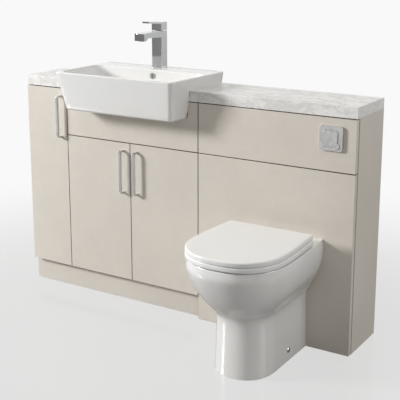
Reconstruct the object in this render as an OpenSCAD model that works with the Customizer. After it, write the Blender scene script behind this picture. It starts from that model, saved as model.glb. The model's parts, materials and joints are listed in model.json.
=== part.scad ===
// Toilet and basin combination unit: a slimline fitted run with a tall side
// unit, a basin unit with two doors and a toilet unit with a back-to-wall pan.
// Millimetres. X runs along the wall, +Y points to the wall, Z is up, and the
// origin is on the floor under the middle of the overall box.

/* [Run of units] */
// Width of the tall side unit
side_w = 200; // [160:10:300]
// Width of the basin unit, which has two doors
basin_unit_w = 600; // [560:10:800]
// Width of the toilet unit
wc_unit_w = 600; // [500:10:700]
// Depth from the wall to the front of the doors
unit_d = 228; // [222:2:320]
// Height of the carcasses above the plinth space
carcass_h = 725; // [715:5:760]
// Height of the plinth space under the carcasses
plinth_h = 90; // [80:5:120]
// Thickness of the worktop
worktop_t = 38; // [28:1:40]
// Reach of the toilet lid in front of the doors
pan_reach = 458; // [440:2:500]

/* [Boards] */
// Thickness of gables, bases, rails and shelves
board_t = 18; // [16:1:19]
// Thickness of the doors, fascia and front panels
door_t = 18; // [16:1:19]
// Thickness of the side unit's back panel
back_t = 8; // [6:1:12]
// Depth of the groove that holds the back panel
groove_d = 5; // [3:1:8]
// Gap between two neighbouring fronts
door_gap = 3; // [2:0.5:5]
// Gap between the back of a front and its carcass
door_back_gap = 2; // [1.5:0.5:3]
// Shadow gap between the fronts and the worktop
shadow_gap = 3; // [2:0.5:6]
// Height of the fascia and of the toilet unit's upper panel
fascia_h = 178.5; // [165:0.5:190]
// Depth of the horizontal rails
rail_d = 60; // [50:5:70]
// Height of the upright rails
rail_h = 58; // [50:2:70]
// Set-back of the plinth behind the door fronts
plinth_recess = 22; // [15:1:40]
// Gap under and over the plinth board
plinth_play = 1; // [0.5:0.5:3]
// Number of shelves in the side unit
shelf_count = 2; // [1:1:3]

/* [Handles] */
// Length of a handle
handle_l = 168; // [120:4:220]
// Width of the handle's bar as seen from the front
handle_w = 9; // [7:0.5:14]
// Thickness of the handle's bar
handle_t = 7; // [5:0.5:9]
// How far the handle stands out from its door
handle_reach = 25; // [20:1:40]
// Bevel on the handle's two outer corners
handle_bevel = 7; // [3:0.5:9]
// Handle's centre from the free edge of its door
handle_inset = 30; // [22:1:45]
// Handle's top below the top of its door
handle_drop = 26; // [15:1:60]

/* [Hinges] */
// Hinge centres from the top and bottom of a door
hinge_inset = 95; // [70:5:140]
// Radius of the hinge cup let into the door
cup_r = 17.5; // [17.5:0.5:17.5]
// Depth of the hinge cup
cup_d = 11.5; // [11:0.1:12]
// Cup's centre from the hinge edge of the door
cup_inset = 22; // [21.5:0.1:22.5]
// Radius of the pins that the hinge link turns on
hinge_pin_r = 1.5; // [1.2:0.1:1.6]
// Radial running clearance of the link on its pins
hinge_play = 0.05; // [0.02:0.01:0.1]
// Width of the hinge link along its pins
link_w = 8; // [6:0.5:9]

/* [Basin] */
// Width of the basin across its rim
basin_w = 522; // [480:2:540]
// Depth of the basin, rim to rim
basin_d = 350; // [330:2:360]
// Height of the rim above the worktop
basin_rise = 44; // [36:1:50]
// Height of the apron from its bottom to the rim
apron_h = 145; // [130:1:150]
// Gap between the back of the basin and the wall
basin_wall_gap = 2; // [1:1:20]
// How far the basin's centre sits right of the unit's centre
basin_shift = 10; // [-20:1:20]
// How far the apron's front leans back at the bottom
apron_lean = 31; // [20:1:50]
// How far each side of the apron draws in at the bottom
apron_taper = 22; // [4:1:26]
// How much wider the basin is on each side at the wall
basin_flare = 7; // [0:1:12]
// Width of the rim round the bowl
rim_w = 14; // [10:1:20]
// Depth of the flat ledge behind the bowl
ledge_d = 104; // [92:1:120]
// Wall of the basin under the ledge and round the bowl
basin_wall = 11; // [8:0.5:14]
// How far each side of the bowl slopes in down to its floor
bowl_slope = 84; // [50:2:100]
// Depth of the bowl below the rim at the waste
bowl_depth = 112; // [100:1:120]
// Radius of the waste hole
waste_r = 22.5; // [20:0.5:24]
// Waste's centre behind the door fronts
waste_set = 60; // [56:1:70]
// Radius of the overflow hole
overflow_r = 10; // [8:0.5:12]

/* [Tap] */
// Width of the tap's body
tap_w = 44; // [38:1:52]
// Depth of the tap's body
tap_d = 38; // [34:1:46]
// Height of the tap's body
tap_h = 141; // [110:1:170]
// Height of the lever's head above the body
head_h = 31; // [27:1:38]
// Gap between the body and the lever's head
head_gap = 1.5; // [1:0.5:3]
// Reach of the spout in front of the body
spout_reach = 111; // [90:1:130]
// Reach of the lever in front of its head
lever_reach = 71; // [60:1:100]
// Radius of the tap hole in the basin
tap_hole_r = 17.5; // [16:0.5:18]
// Tap's centre behind the door fronts
tap_set = 187; // [183:1:190]

/* [Toilet] */
// How far the pan's centre sits right of the unit's centre
pan_shift = 38; // [0:1:40]
// Height of the pan's rim
pan_h = 397; // [380:1:420]
// Half the pan's width at the rim
pan_half_w = 172; // [160:1:180]
// Half the width of the pan's foot
foot_half_w = 100; // [90:1:110]
// Reach of the pan's foot in front of the doors
foot_reach = 340; // [320:2:360]
// Thickness of the pan's fired clay walls
pan_wall = 13; // [10:1:16]
// Centre height of the soil outlet
outlet_z = 190; // [180:1:200]
// Outer radius of the pan's outlet spigot
outlet_r = 51; // [48:0.5:52]
// Centre height of the flush inlet
inlet_z = 335; // [325:1:345]
// Radius of the flush inlet
inlet_r = 27.5; // [25:0.5:29]
// Thickness of the seat
seat_t = 17; // [14:0.5:20]
// Thickness of the lid
lid_t = 17; // [14:0.5:20]
// Height of the seat's buffers
buffer_h = 4; // [3:0.5:6]
// Half the lid's width at its back edge
lid_back_half_w = 155; // [148:1:160]
// Half the lid's greatest width
lid_half_w = 168; // [160:1:174]
// Lid's back edge in front of the doors
lid_set = 77; // [70:1:90]
// Radius of the seat's hinge pins
seat_pin_r = 4; // [3:0.25:5]
// Radial running clearance of the seat and lid on their pins
seat_play = 0.05; // [0.02:0.01:0.1]

/* [Flush and pipes] */
// Side of the square flush plate
plate_w = 82; // [78:1:90]
// How far the flush plate stands out from its panel
plate_t = 9; // [7:0.5:12]
// Side of the large flush button
button_w = 54; // [50:1:58]
// Radius of the small flush button
small_button_r = 11; // [9:0.5:12]
// Travel of both flush buttons
button_travel = 5; // [3:0.5:6]
// Flush plate's centre from the right end of the run
plate_inset = 87; // [84:1:120]
// Flush plate's centre below the top of the carcass
plate_drop = 70; // [60:1:80]
// Width of the cistern
tank_w = 400; // [340:5:410]
// Depth of the cistern
tank_d = 122; // [115:1:125]
// Height of the cistern's underside over the flush pipe's axis in the pan
flush_rise = 69; // [66:1:90]
// Wall of the cistern
tank_wall = 4; // [3:0.5:6]
// Outer radius of the flush pipe
flush_pipe_r = 22; // [20:0.5:24]
// Outer radius of the basin's waste pipe
waste_pipe_r = 16; // [16:0.5:20]
// Outer radius of the water supply pipes
supply_r = 7.5; // [7.5:0.5:11]
// Outer radius of the soil connector
soil_r = 55; // [54:0.5:56]

/* [Hidden] */
$fn = 48;

// Overlap that a cutting shape takes past the face it cuts
cut = 1;

// Places along the wall
run_w = side_w + basin_unit_w + wc_unit_w;
x_left = -run_w / 2;
x_basin = x_left + side_w;
x_wc = x_basin + basin_unit_w;
x_right = run_w / 2;
basin_cx = (x_basin + x_wc) / 2 + basin_shift;
pan_cx = (x_wc + x_right) / 2 + pan_shift;

// Places out from the wall
y_wall = (unit_d + pan_reach) / 2;
y_face = y_wall - unit_d;
y_door_back = y_face + door_t;
y_carcass = y_door_back + door_back_gap;
carcass_d = y_wall - y_carcass;

// Heights
z_carcass = plinth_h;
z_top = plinth_h + carcass_h;
z_worktop = z_top + worktop_t;
z_front_top = z_top - shadow_gap;
z_fascia = z_front_top - fascia_h;
z_door_top = z_fascia - door_gap;
z_door = z_carcass + door_back_gap;
z_rim = z_worktop + basin_rise;
z_apron = z_rim - apron_h;

// Colours
c_panel = [0.84, 0.81, 0.77];
c_board = [0.90, 0.88, 0.85];
c_stone = [0.92, 0.92, 0.91];
c_china = [0.96, 0.96, 0.96];
c_chrome = [0.78, 0.79, 0.80];
c_steel = [0.66, 0.67, 0.68];
c_brass = [0.80, 0.68, 0.40];
c_white = [0.93, 0.93, 0.93];
c_grey = [0.45, 0.46, 0.47];
c_dark = [0.20, 0.20, 0.21];

// ---- helpers

// Box between two opposite corners
module block(a, b) {
  translate(a) cube(b - a);
}

// Round bar from point a to point b
module bar(a, b, r) {
  d = b - a;
  l = norm(d);
  translate(a)
    rotate([0, acos(d.z / l), atan2(d.y, d.x)])
      cylinder(r = r, h = l);
}

// Solid through a stack of rings that have the same number of points
module loft(rings) {
  n = len(rings[0]);
  m = len(rings);
  points = [for (ring = rings) each ring];
  sides = [
    for (i = [0 : m - 2], j = [0 : n - 1])
      let (a = i * n + j, b = i * n + (j + 1) % n)
        each [[a, b + n, b], [a, a + n, b + n]]
  ];
  bottom = [for (j = [0 : n - 1]) j];
  top = [for (j = [n - 1 : -1 : 0]) (m - 1) * n + j];
  polyhedron(points = points, faces = concat(sides, [bottom, top]));
}

// Closed ring-shaped solid: the loops run round its cross-section
module loft_loop(loops) {
  n = len(loops[0]);
  m = len(loops);
  points = [for (loop = loops) each loop];
  sides = [
    for (i = [0 : m - 1], j = [0 : n - 1])
      let (
        a = i * n + j,
        b = i * n + (j + 1) % n,
        c = ((i + 1) % m) * n + j,
        d = ((i + 1) % m) * n + (j + 1) % n
      )
        each [[a, d, b], [a, c, d]]
  ];
  polyhedron(points = points, faces = sides);
}

// Ring of a rounded rectangle at height z, seen anticlockwise from above
function rounded_ring(x0, x1, y0, y1, r, z, steps = 6) = [
  for (c = [0 : 3], i = [0 : steps])
    let (
      a = 90 * c + 90 * i / steps,
      cx = (c == 0 || c == 3) ? x1 - r : x0 + r,
      cy = (c < 2) ? y1 - r : y0 + r
    )
      [cx + r * cos(a), cy + r * sin(a), z]
];

// Signed power, for superellipses
function spow(v, p) = sign(v) * pow(abs(v), p);

// D-shaped ring: flat back at y_back, straight sides, superelliptic front
function d_ring(cx, back_half, half, y_back, y_mid, y_front, z, power = 2.5, steps = 24) =
  concat(
    [[cx + back_half, y_back, z], [cx - back_half, y_back, z]],
    [for (i = [1 : 3]) [
      cx - back_half - (half - back_half) * sin(90 * i / 4),
      y_back + (y_mid - y_back) * i / 4, z]],
    [for (i = [0 : steps])
      let (a = 180 * i / steps)
        [cx - half * spow(cos(a), 2 / power),
        y_mid + (y_front - y_mid) * spow(sin(a), 2 / power), z]],
    [for (i = [3 : -1 : 1]) [
      cx + back_half + (half - back_half) * sin(90 * i / 4),
      y_back + (y_mid - y_back) * i / 4, z]]
  );

// Ring of an ellipse at height z
function ellipse_ring(cx, cy, rx, ry, z, steps = 32) = [
  for (i = [0 : steps - 1])
    let (a = 360 * i / steps)
      [cx + rx * cos(a), cy + ry * sin(a), z]
];

// Value at t on the smooth curve through equally spaced values v
function spline(v, t) =
  let (
    last = len(v) - 1,
    i = min(floor(t), last - 1),
    u = t - i,
    p0 = v[max(i - 1, 0)],
    p1 = v[i],
    p2 = v[i + 1],
    p3 = v[min(i + 2, last)]
  )
    p1 + 0.5 * u * (p2 - p0 + u * (2 * p0 - 5 * p1 + 4 * p2 - p3
      + u * (3 * (p1 - p2) + p3 - p0)));

// Smooth route through hand-placed points, with several steps between each
function route(points, per) = [
  for (k = [0 : (len(points) - 1) * per]) spline(points, k / per)
];

// Tube of radius r along a route; up is never along the route
module tube(points, r, up, sides = 8) {
  n = len(points);
  rings = [
    for (i = [0 : n - 1])
      let (
        t0 = points[min(i + 1, n - 1)] - points[max(i - 1, 0)],
        t = t0 / norm(t0),
        u0 = cross(up, t),
        u = u0 / norm(u0),
        v = cross(t, u)
      )
        [for (k = [0 : sides - 1])
          points[i] + r * (u * cos(360 * k / sides) + v * sin(360 * k / sides))]
  ];
  loft(rings);
}

// ---- carcasses

// Gap between the worktop's notch and the basin's bowl that hangs in it
notch_play = 5;
// Half the width of the bowl's tub below the worktop
tub_half_w = basin_w / 2 - 28;
// Back of the tub below the worktop
y_tub_back = y_wall - basin_wall_gap - ledge_d + basin_wall;
// Radius of the hole in the worktop for the tap's shank and tails
tail_hole_r = 26;

module worktop() {
  color(c_stone)
    difference() {
      block([x_left, y_face, z_top], [x_right, y_wall, z_worktop]);
      block(
        [basin_cx - tub_half_w, y_face - cut, z_top - cut],
        [basin_cx + tub_half_w, y_tub_back + notch_play, z_worktop + cut]
      );
      translate([basin_cx, y_face + tap_set, z_top - cut])
        cylinder(r = tail_hole_r, h = worktop_t + 2 * cut);
    }
}

// Gap between the wall and the side unit's back panel
service_gap = 12;
// Play of the back panel in its grooves
groove_play = 0.5;
y_back_panel = y_wall - service_gap - back_t;

// Gables of the side unit and the basin unit
module unit_gables() {
  color(c_board)
    difference() {
      for (x = [x_left, x_basin - board_t, x_basin, x_wc - board_t])
        block([x, y_carcass, z_carcass], [x + board_t, y_wall, z_top]);
      back_panel_space(0, z_carcass - cut, z_top + cut);
      shelf_pin_holes();
      connector_holes();
      hinge_plate_holes();
    }
}

// Space of the side unit's back panel, drawn in by play from its grooves
module back_panel_space(play, z0, z1) {
  block(
    [x_left + board_t - groove_d + play, y_back_panel, z0],
    [x_basin - board_t + groove_d - play, y_back_panel + back_t, z1]
  );
}

module side_unit_back() {
  color(c_board)
    back_panel_space(groove_play, z_carcass + board_t, z_top);
}

// Play at each end of a shelf
shelf_play = 1;
// Shelf pin: radius, stand-out and depth in the gable
pin_r = 2.5;
pin_out = 8;
pin_in = 10;
// Shelf's front edge behind the carcass front, and pins from the shelf's edges
shelf_set = 12;
pin_inset = 30;
y_shelf = y_carcass + shelf_set;

function shelf_z(i) = z_carcass + board_t
  + (carcass_h - 2 * board_t) * i / (shelf_count + 1);

module side_unit_shelves() {
  color(c_board)
    for (i = [1 : shelf_count])
      block(
        [x_left + board_t + shelf_play, y_shelf, shelf_z(i)],
        [x_basin - board_t - shelf_play, y_back_panel - shelf_play,
        shelf_z(i) + board_t]
      );
}

// Places one child at each shelf pin, which points away from its gable
module at_shelf_pins() {
  for (i = [1 : shelf_count], y = [y_shelf + pin_inset, y_back_panel - pin_inset]) {
    translate([x_left + board_t, y, shelf_z(i) - pin_r]) children();
    translate([x_basin - board_t, y, shelf_z(i) - pin_r]) mirror([1, 0, 0]) children();
  }
}

module shelf_pin_holes() {
  at_shelf_pins()
    translate([-pin_in, 0, 0]) rotate([0, 90, 0])
      cylinder(r = pin_r, h = pin_in + cut);
}

module shelf_pins() {
  color(c_steel)
    at_shelf_pins()
      translate([-pin_in, 0, 0]) rotate([0, 90, 0])
        cylinder(r = pin_r, h = pin_in + pin_out);
}

// Holes in the basin and toilet units' back rails for the wall screws
wall_screw_r = 3;
wall_screw_inset = 60;
wall_screw_z = z_top - board_t - 28;

// Back rail on edge against the wall, with its two screw holes
module wall_rail(x0, x1) {
  difference() {
    block(
      [x0 + board_t, y_wall - board_t, wall_screw_z - rail_h / 2],
      [x1 - board_t, y_wall, wall_screw_z + rail_h / 2]
    );
    for (x = [x0 + wall_screw_inset, x1 - wall_screw_inset])
      translate([x, y_wall - board_t - cut, wall_screw_z])
        rotate([-90, 0, 0])
          cylinder(r = wall_screw_r, h = board_t + 2 * cut);
  }
}

// Bases and rails of the side unit and the basin unit
module unit_rails() {
  color(c_board) {
    for (x = [x_left, x_basin])
      let (w = (x == x_left) ? side_w : basin_unit_w)
        block(
          [x + board_t, y_carcass, z_carcass],
          [x + w - board_t, y_wall, z_carcass + board_t]
        );
    block(
      [x_left + board_t, y_carcass, z_top - board_t],
      [x_basin - board_t, y_carcass + rail_d, z_top]
    );
    block(
      [x_left + board_t, y_back_panel - rail_d, z_top - board_t],
      [x_basin - board_t, y_back_panel, z_top]
    );
    wall_rail(x_basin, x_wc);
    block(
      [x_basin + board_t, y_carcass, z_fascia - rail_h],
      [x_wc - board_t, y_carcass + board_t, z_fascia]
    );
  }
}

// Fascia under the basin's rim, cut out for the bowl that the apron covers
module basin_fascia() {
  color(c_panel)
    difference() {
      block(
        [x_basin + door_gap / 2, y_face, z_fascia],
        [x_wc - door_gap / 2, y_door_back, z_front_top]
      );
      block(
        [basin_cx - tub_half_w, y_face - cut, z_apron + apron_lip],
        [basin_cx + tub_half_w, y_door_back + cut, z_front_top + cut]
      );
    }
}

module wc_unit_gables() {
  color(c_panel)
    difference() {
      union() {
        block([x_wc, y_carcass, 0], [x_wc + board_t, y_wall, z_top]);
        block([x_right - board_t, y_carcass, 0], [x_right, y_wall, z_top]);
      }
      connector_holes();
    }
}

// Depth of the toilet unit's front rails, which clear the cistern
front_rail_d = 50;

module wc_unit_rails() {
  x0 = x_wc + board_t;
  x1 = x_right - board_t;
  z_mid = z_fascia - door_gap / 2;
  color(c_board) {
    block([x0, y_carcass, z_top - board_t], [x1, y_carcass + front_rail_d, z_top]);
    wall_rail(x_wc, x_right);
    block([x0, y_carcass, z_mid - 15], [x1, y_carcass + board_t, z_mid + 15]);
    for (x = [x0, x1 - board_t])
      block([x, y_carcass, 0], [x + board_t, y_carcass + front_rail_d, z_mid - 15]);
  }
}

module wc_upper_panel() {
  color(c_panel)
    difference() {
      block(
        [x_wc + door_gap / 2, y_face, z_fascia],
        [x_right - door_gap / 2, y_door_back, z_front_top]
      );
      translate([plate_x, y_face, plate_z])
        block(
          [-housing_w / 2 - housing_play, -cut, -housing_w / 2 - housing_play],
          [housing_w / 2 + housing_play, door_t + cut, housing_w / 2 + housing_play]
        );
    }
}

// Clearance round the pipes where they pass the lower panel
pipe_play = 4;

module wc_lower_panel() {
  color(c_panel)
    difference() {
      block(
        [x_wc + door_gap / 2, y_face, 0],
        [x_right - door_gap / 2, y_door_back, z_door_top]
      );
      for (p = [[outlet_z, outlet_r], [inlet_z, inlet_r]])
        translate([pan_cx, y_face - cut, p[0]]) rotate([-90, 0, 0])
          cylinder(r = p[1] + pipe_play, h = door_t + 2 * cut);
    }
}

// Press-stud clips that hold the toilet unit's two panels
clip_r = 5;
// Corner block that holds the fascia: leg length and thickness
bracket_l = 30;
bracket_t = 14;

module panel_fixings() {
  z_mid = z_fascia - door_gap / 2;
  clip_x = [x_wc + 50, tank_cx - 30, x_right - 50];
  color(c_white) {
    for (x = clip_x) {
      panel_clip(x, z_front_top - clip_r);
      panel_clip(x, z_fascia + clip_r);
      panel_clip(x + 20, z_door_top - clip_r);
    }
    for (x = [x_wc + 1.5 * board_t, x_right - 1.5 * board_t], z = [plinth_h, 0.67 * z_door_top])
      panel_clip(x, z);
    for (x = [x_basin + board_t, x_wc - board_t - bracket_t])
      block(
        [x, y_door_back, z_fascia + 12],
        [x + bracket_t, y_carcass + bracket_l, z_fascia + 12 + bracket_l]
      );
    for (x = leg_x)
      plinth_clip(x);
  }
}

module panel_clip(x, z) {
  translate([x, y_door_back, z]) rotate([-90, 0, 0])
    cylinder(r = clip_r, h = door_back_gap);
}

// ---- plinth and legs

plinth_t = board_t;
y_plinth = y_face + plinth_recess;
// Legs: foot radius, stem radius, foot height, socket height and wall
foot_r = 24;
stem_r = 11;
foot_t = 8;
socket_l = 32;
socket_wall = 3;
leg_inset = 45;
leg_x = [x_left + leg_inset, x_basin - leg_inset, x_basin + leg_inset, x_wc - leg_inset];
y_leg_front = y_plinth + plinth_t + foot_r + 10;
y_leg_back = y_wall - foot_r - 8;

module plinth() {
  z0 = plinth_play;
  z1 = plinth_h - plinth_play;
  color(c_panel) {
    block([x_left, y_plinth, z0], [x_wc - door_gap, y_plinth + plinth_t, z1]);
    block([x_left, y_plinth + plinth_t, z0], [x_left + plinth_t, y_wall, z1]);
  }
}

module adjustable_legs() {
  color(c_dark)
    for (x = leg_x, y = [y_leg_front, y_leg_back])
      translate([x, y, 0])
        difference() {
          union() {
            cylinder(r = foot_r, h = foot_t / 2);
            translate([0, 0, foot_t / 2])
              cylinder(r1 = foot_r, r2 = stem_r, h = foot_t / 2);
            cylinder(r = stem_r, h = plinth_h);
            translate([0, 0, plinth_h - socket_l])
              cylinder(r = stem_r + socket_wall, h = socket_l);
            translate([0, 0, plinth_h - 4]) cylinder(r = foot_r, h = 4);
          }
          // screwdriver slot across the foot
          translate([-foot_r / 2, -1.5, -cut]) cube([foot_r, 3, cut + 2]);
        }
}

// Clip between a front leg's stem and the plinth board
module plinth_clip(x) {
  clip_h = 16;
  z = 22;
  difference() {
    block(
      [x - stem_r - 3, y_plinth + plinth_t, z],
      [x + stem_r + 3, y_leg_front + 2, z + clip_h]
    );
    translate([x, y_leg_front, z - cut]) cylinder(r = stem_r, h = clip_h + 2 * cut);
    block(
      [x - stem_r + 3, y_plinth + plinth_t + 5, z - cut],
      [x + stem_r - 3, y_leg_front, z + clip_h + cut]
    );
  }
}

// Screws that draw neighbouring gables together: radius, head and places
connector_r = 3;
connector_head_r = 7;
connector_head_t = 2;
connector_y = [y_carcass + 66, y_wall - 60];
connector_z = [z_carcass + 150, z_top - 90];

// Places one child on the joint of two units, pointing along X
module at_connectors() {
  for (x = [x_basin, x_wc], y = connector_y, z = connector_z)
    translate([x, y, z]) rotate([0, 90, 0]) children();
}

module connector_holes() {
  at_connectors() cylinder(r = connector_r, h = 2 * board_t + 2 * cut, center = true);
}

module unit_connectors() {
  color(c_steel)
    at_connectors() {
      cylinder(r = connector_r, h = 2 * board_t, center = true);
      for (s = [-1, 1])
        translate([0, 0, s * (board_t + connector_head_t / 2)])
          cylinder(r = connector_head_r, h = connector_head_t, center = true);
    }
}

// ---- doors

// Doors: [left edge, right edge, top, hinge side (-1 left, 1 right)]
half_gap = door_gap / 2;
x_mid = (x_basin + x_wc) / 2;
SIDE = [x_left + half_gap, x_basin - half_gap, z_front_top, -1];
LEFT = [x_basin + half_gap, x_mid - half_gap, z_door_top, -1];
RIGHT = [x_mid + half_gap, x_wc - half_gap, z_door_top, 1];

// Handle screw: shank radius, head radius, head height, depth in the handle
screw_r = 2;
screw_head_r = 4;
screw_head_t = 2;
screw_bite = 12;

function hinge_x(door) = door[3] < 0 ? door[0] : door[1];
function handle_x(door) = door[3] < 0 ? door[1] - handle_inset : door[0] + handle_inset;
function hinge_zs(door) = [z_door + hinge_inset, door[2] - hinge_inset];
function screw_zs(door) = [
  door[2] - handle_drop - handle_l + handle_t / 2,
  door[2] - handle_drop - handle_t / 2
];

// Places children at a door's hinges, with +X pointing into the door
module at_hinges(door) {
  for (z = hinge_zs(door))
    translate([hinge_x(door), y_face, z])
      if (door[3] < 0) children();
      else mirror([1, 0, 0]) children();
}

module door_leaf(door) {
  color(c_panel)
    difference() {
      block([door[0], y_face, z_door], [door[1], y_door_back, door[2]]);
      at_hinges(door) {
        translate([cup_inset, door_t - cup_d, 0]) rotate([-90, 0, 0])
          cylinder(r = cup_r, h = cup_d + cut);
        at_cup_screws() cylinder(r = cup_screw_r, h = 2 * cup_screw_l, center = true);
      }
      for (z = screw_zs(door))
        translate([handle_x(door), y_face - cut, z]) rotate([-90, 0, 0]) {
          cylinder(r = screw_r, h = door_t + 2 * cut);
          translate([0, 0, door_t - screw_head_t + cut])
            cylinder(r = screw_head_r, h = screw_head_t + cut);
        }
    }
}

// Flat bar bent to a D, with bevelled corners, and its two screws
module handle(door) {
  r = handle_reach;
  t = handle_t;
  b = handle_bevel;
  i = b * (sqrt(2) - 1);
  outline = [
    [0, 0], [r - b, 0], [r, b], [r, handle_l - b], [r - b, handle_l], [0, handle_l],
    [0, handle_l - t], [r - t - i, handle_l - t], [r - t, handle_l - t - i],
    [r - t, t + i], [r - t - i, t], [0, t]
  ];
  z0 = door[2] - handle_drop - handle_l;
  difference() {
    color(c_chrome)
      translate([handle_x(door) - handle_w / 2, y_face, z0])
        rotate([90, 0, 90]) mirror([1, 0, 0])
          linear_extrude(height = handle_w) polygon(outline);
    for (z = screw_zs(door))
      translate([handle_x(door), y_face - screw_bite, z]) rotate([-90, 0, 0])
        cylinder(r = screw_r, h = screw_bite + cut);
  }
  color(c_steel)
    for (z = screw_zs(door))
      translate([handle_x(door), y_face, z]) rotate([-90, 0, 0]) {
        translate([0, 0, -screw_bite])
          cylinder(r = screw_r, h = screw_bite + door_t - screw_head_t);
        translate([0, 0, door_t - screw_head_t])
          cylinder(r = screw_head_r, h = screw_head_t);
      }
}

// Concealed hinge, drawn with the door's outer front corner at the origin and
// +X into the door. Its cranked link turns on a pin in the arm and on a pin in
// the cup, so the open door stands clear of its gable and of its neighbour.
arm_pin = [41.5, 25.5];
cup_pin = [14, 13.5];
crank = [26.5, 10];
link_t = 3;
link_ring_r = 3.2;
cup_skin = 0.7;
ear_t = 1;
plate_h = 40;
arm_h = 12;
cheek_t = 1.5;
cheek_gap = 0.3;

// Screws of the cup's two ears and of the mounting plate: radius and length
cup_screw_r = 1.75;
cup_screw_l = 11;
plate_screw_r = 2.5;
plate_screw_l = 11;

// Places children on the back of the door at the cup's screws, +Z pointing back
module at_cup_screws() {
  for (s = [-1, 1])
    translate([cup_inset + 9.5, door_t, s * 22.5]) rotate([-90, 0, 0]) children();
}

// Places children on the gable at the plate's screws, +Z pointing off the gable
module at_plate_screws() {
  for (s = [-1, 1])
    translate([board_t - half_gap, door_t + door_back_gap + 20, s * 14])
      rotate([0, 90, 0]) children();
}

module hinge_plate_holes() {
  for (door = [SIDE, LEFT, RIGHT])
    at_hinges(door) at_plate_screws()
      translate([0, 0, -plate_screw_l]) cylinder(r = plate_screw_r, h = plate_screw_l + cut);
}

module hinge_cup() {
  difference() {
    union() {
      translate([cup_inset, door_t - cup_d, 0]) rotate([-90, 0, 0])
        cylinder(r = cup_r, h = cup_d);
      for (s = [-1, 1])
        translate([cup_inset, door_t, s * 21 - 5]) cube([15, ear_t, 10]);
      at_cup_screws() {
        translate([0, 0, ear_t]) cylinder(r = 3.4, h = 1.2);
        translate([0, 0, -cup_screw_l]) cylinder(r = cup_screw_r, h = cup_screw_l + ear_t);
      }
    }
    translate([cup_inset, door_t - cup_d + cup_skin, 0]) rotate([-90, 0, 0])
      cylinder(r = cup_r - cup_skin, h = cup_d + ear_t);
  }
  // pin across the cup, let into its wall
  half_chord = sqrt(pow(cup_r - cup_skin / 2, 2) - pow(cup_inset - cup_pin.x, 2));
  translate([cup_pin.x, cup_pin.y, 0])
    cylinder(r = hinge_pin_r, h = 2 * half_chord, center = true);
}

// Flat strip between two points of the link
module link_strip(p, q) {
  d = q - p;
  translate([p.x, p.y, 0]) rotate([0, 0, atan2(d.y, d.x)])
    translate([0, -link_t / 2, -link_w / 2]) cube([norm(d), link_t, link_w]);
}

module hinge_link() {
  difference() {
    union() {
      link_strip(cup_pin, crank);
      link_strip(crank, arm_pin);
      translate([crank.x, crank.y, 0])
        cylinder(r = link_t / 2 + 0.3, h = link_w, center = true);
      for (p = [cup_pin, arm_pin])
        translate([p.x, p.y, 0]) cylinder(r = link_ring_r, h = link_w, center = true);
    }
    for (p = [cup_pin, arm_pin])
      translate([p.x, p.y, 0])
        cylinder(r = hinge_pin_r + hinge_play, h = link_w + 2 * cut, center = true);
  }
}

module hinge_arm() {
  gable = board_t - half_gap;
  y0 = door_t + door_back_gap;
  cheek_z = link_w / 2 + cheek_gap;
  // mounting plate on the gable, with its screws
  translate([gable, y0 + 12, -plate_h / 2]) cube([3, 16, plate_h]);
  translate([gable, y0 + 8, -8]) cube([3, 52, 16]);
  at_plate_screws() {
    translate([0, 0, 3]) cylinder(r = 4, h = 1.5);
    translate([0, 0, -plate_screw_l]) cylinder(r = plate_screw_r, h = plate_screw_l + 3);
  }
  // arm over the plate
  translate([gable + 3, y0 + 14, -arm_h / 2]) cube([11, 44, arm_h]);
  // two cheeks that carry the pin
  for (s = [-1, 1])
    translate([0, 0, s * (cheek_z + cheek_t / 2) - cheek_t / 2]) {
      linear_extrude(height = cheek_t)
        polygon([
          [arm_pin.x - 3, arm_pin.y], [arm_pin.x + 3, arm_pin.y],
          [arm_pin.x + 3, y0 + 22], [gable + 13, y0 + 34],
          [gable + 13, y0 + 14]
        ]);
      translate([arm_pin.x, arm_pin.y, 0]) cylinder(r = 3.2, h = cheek_t);
    }
  translate([arm_pin.x, arm_pin.y, 0])
    cylinder(r = hinge_pin_r, h = 2 * (cheek_z + cheek_t), center = true);
}

module hinge_arms() {
  color(c_steel)
    for (door = [SIDE, LEFT, RIGHT])
      at_hinges(door) hinge_arm();
}

module hinge_links(door) {
  color(c_steel) at_hinges(door) hinge_link();
}

module hinge_cups(door) {
  color(c_steel) at_hinges(door) hinge_cup();
}

// ---- basin

y_basin_back = y_wall - basin_wall_gap;
y_basin_front = y_basin_back - basin_d;
y_ledge = y_basin_back - ledge_d;
y_waste = y_face + waste_set;
z_bowl = z_rim - bowl_depth;
// How far the apron's bottom edge rises to meet the fascia
apron_lip = 12;
// Corner radii outside and in the bowl
basin_corner_r = 18;
bowl_corner_r = 40;
// Roundness of the rim's and the apron's edges
rim_round = 4;
apron_round = 9;
// Depth of the tub below the apron's bottom
tub_foot = 16;

// Widens a ring towards the wall
function flared(ring) =
  let (k = basin_flare / (basin_w / 2) / basin_d)
    [for (p = ring)
      [basin_cx + (p.x - basin_cx) * (1 + k * (p.y - y_basin_front)), p.y, p.z]];

// Outer ring of the basin at height z, drawn in by inset
function basin_ring(z, inset) =
  let (t = (z_rim - z) / apron_h)
    flared(rounded_ring(
      basin_cx - basin_w / 2 + apron_taper * t + inset,
      basin_cx + basin_w / 2 - apron_taper * t - inset,
      y_basin_front + apron_lean * t + inset,
      y_basin_back - inset / 2,
      basin_corner_r, z
    ));

// Ring of the bowl at height z; t runs from 0 at the rim to 1 at the floor
function bowl_ring(t, z, grow = 0) =
  let (side = rim_w + bowl_slope * (1.4 * t - 0.4 * t * t))
    flared(rounded_ring(
      basin_cx - basin_w / 2 + side - grow, basin_cx + basin_w / 2 - side + grow,
      y_basin_front + rim_w + 42 * t + 8 * t * t - grow, y_ledge - 14 * t * t + grow,
      bowl_corner_r + 32 * t, z
    ));

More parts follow.
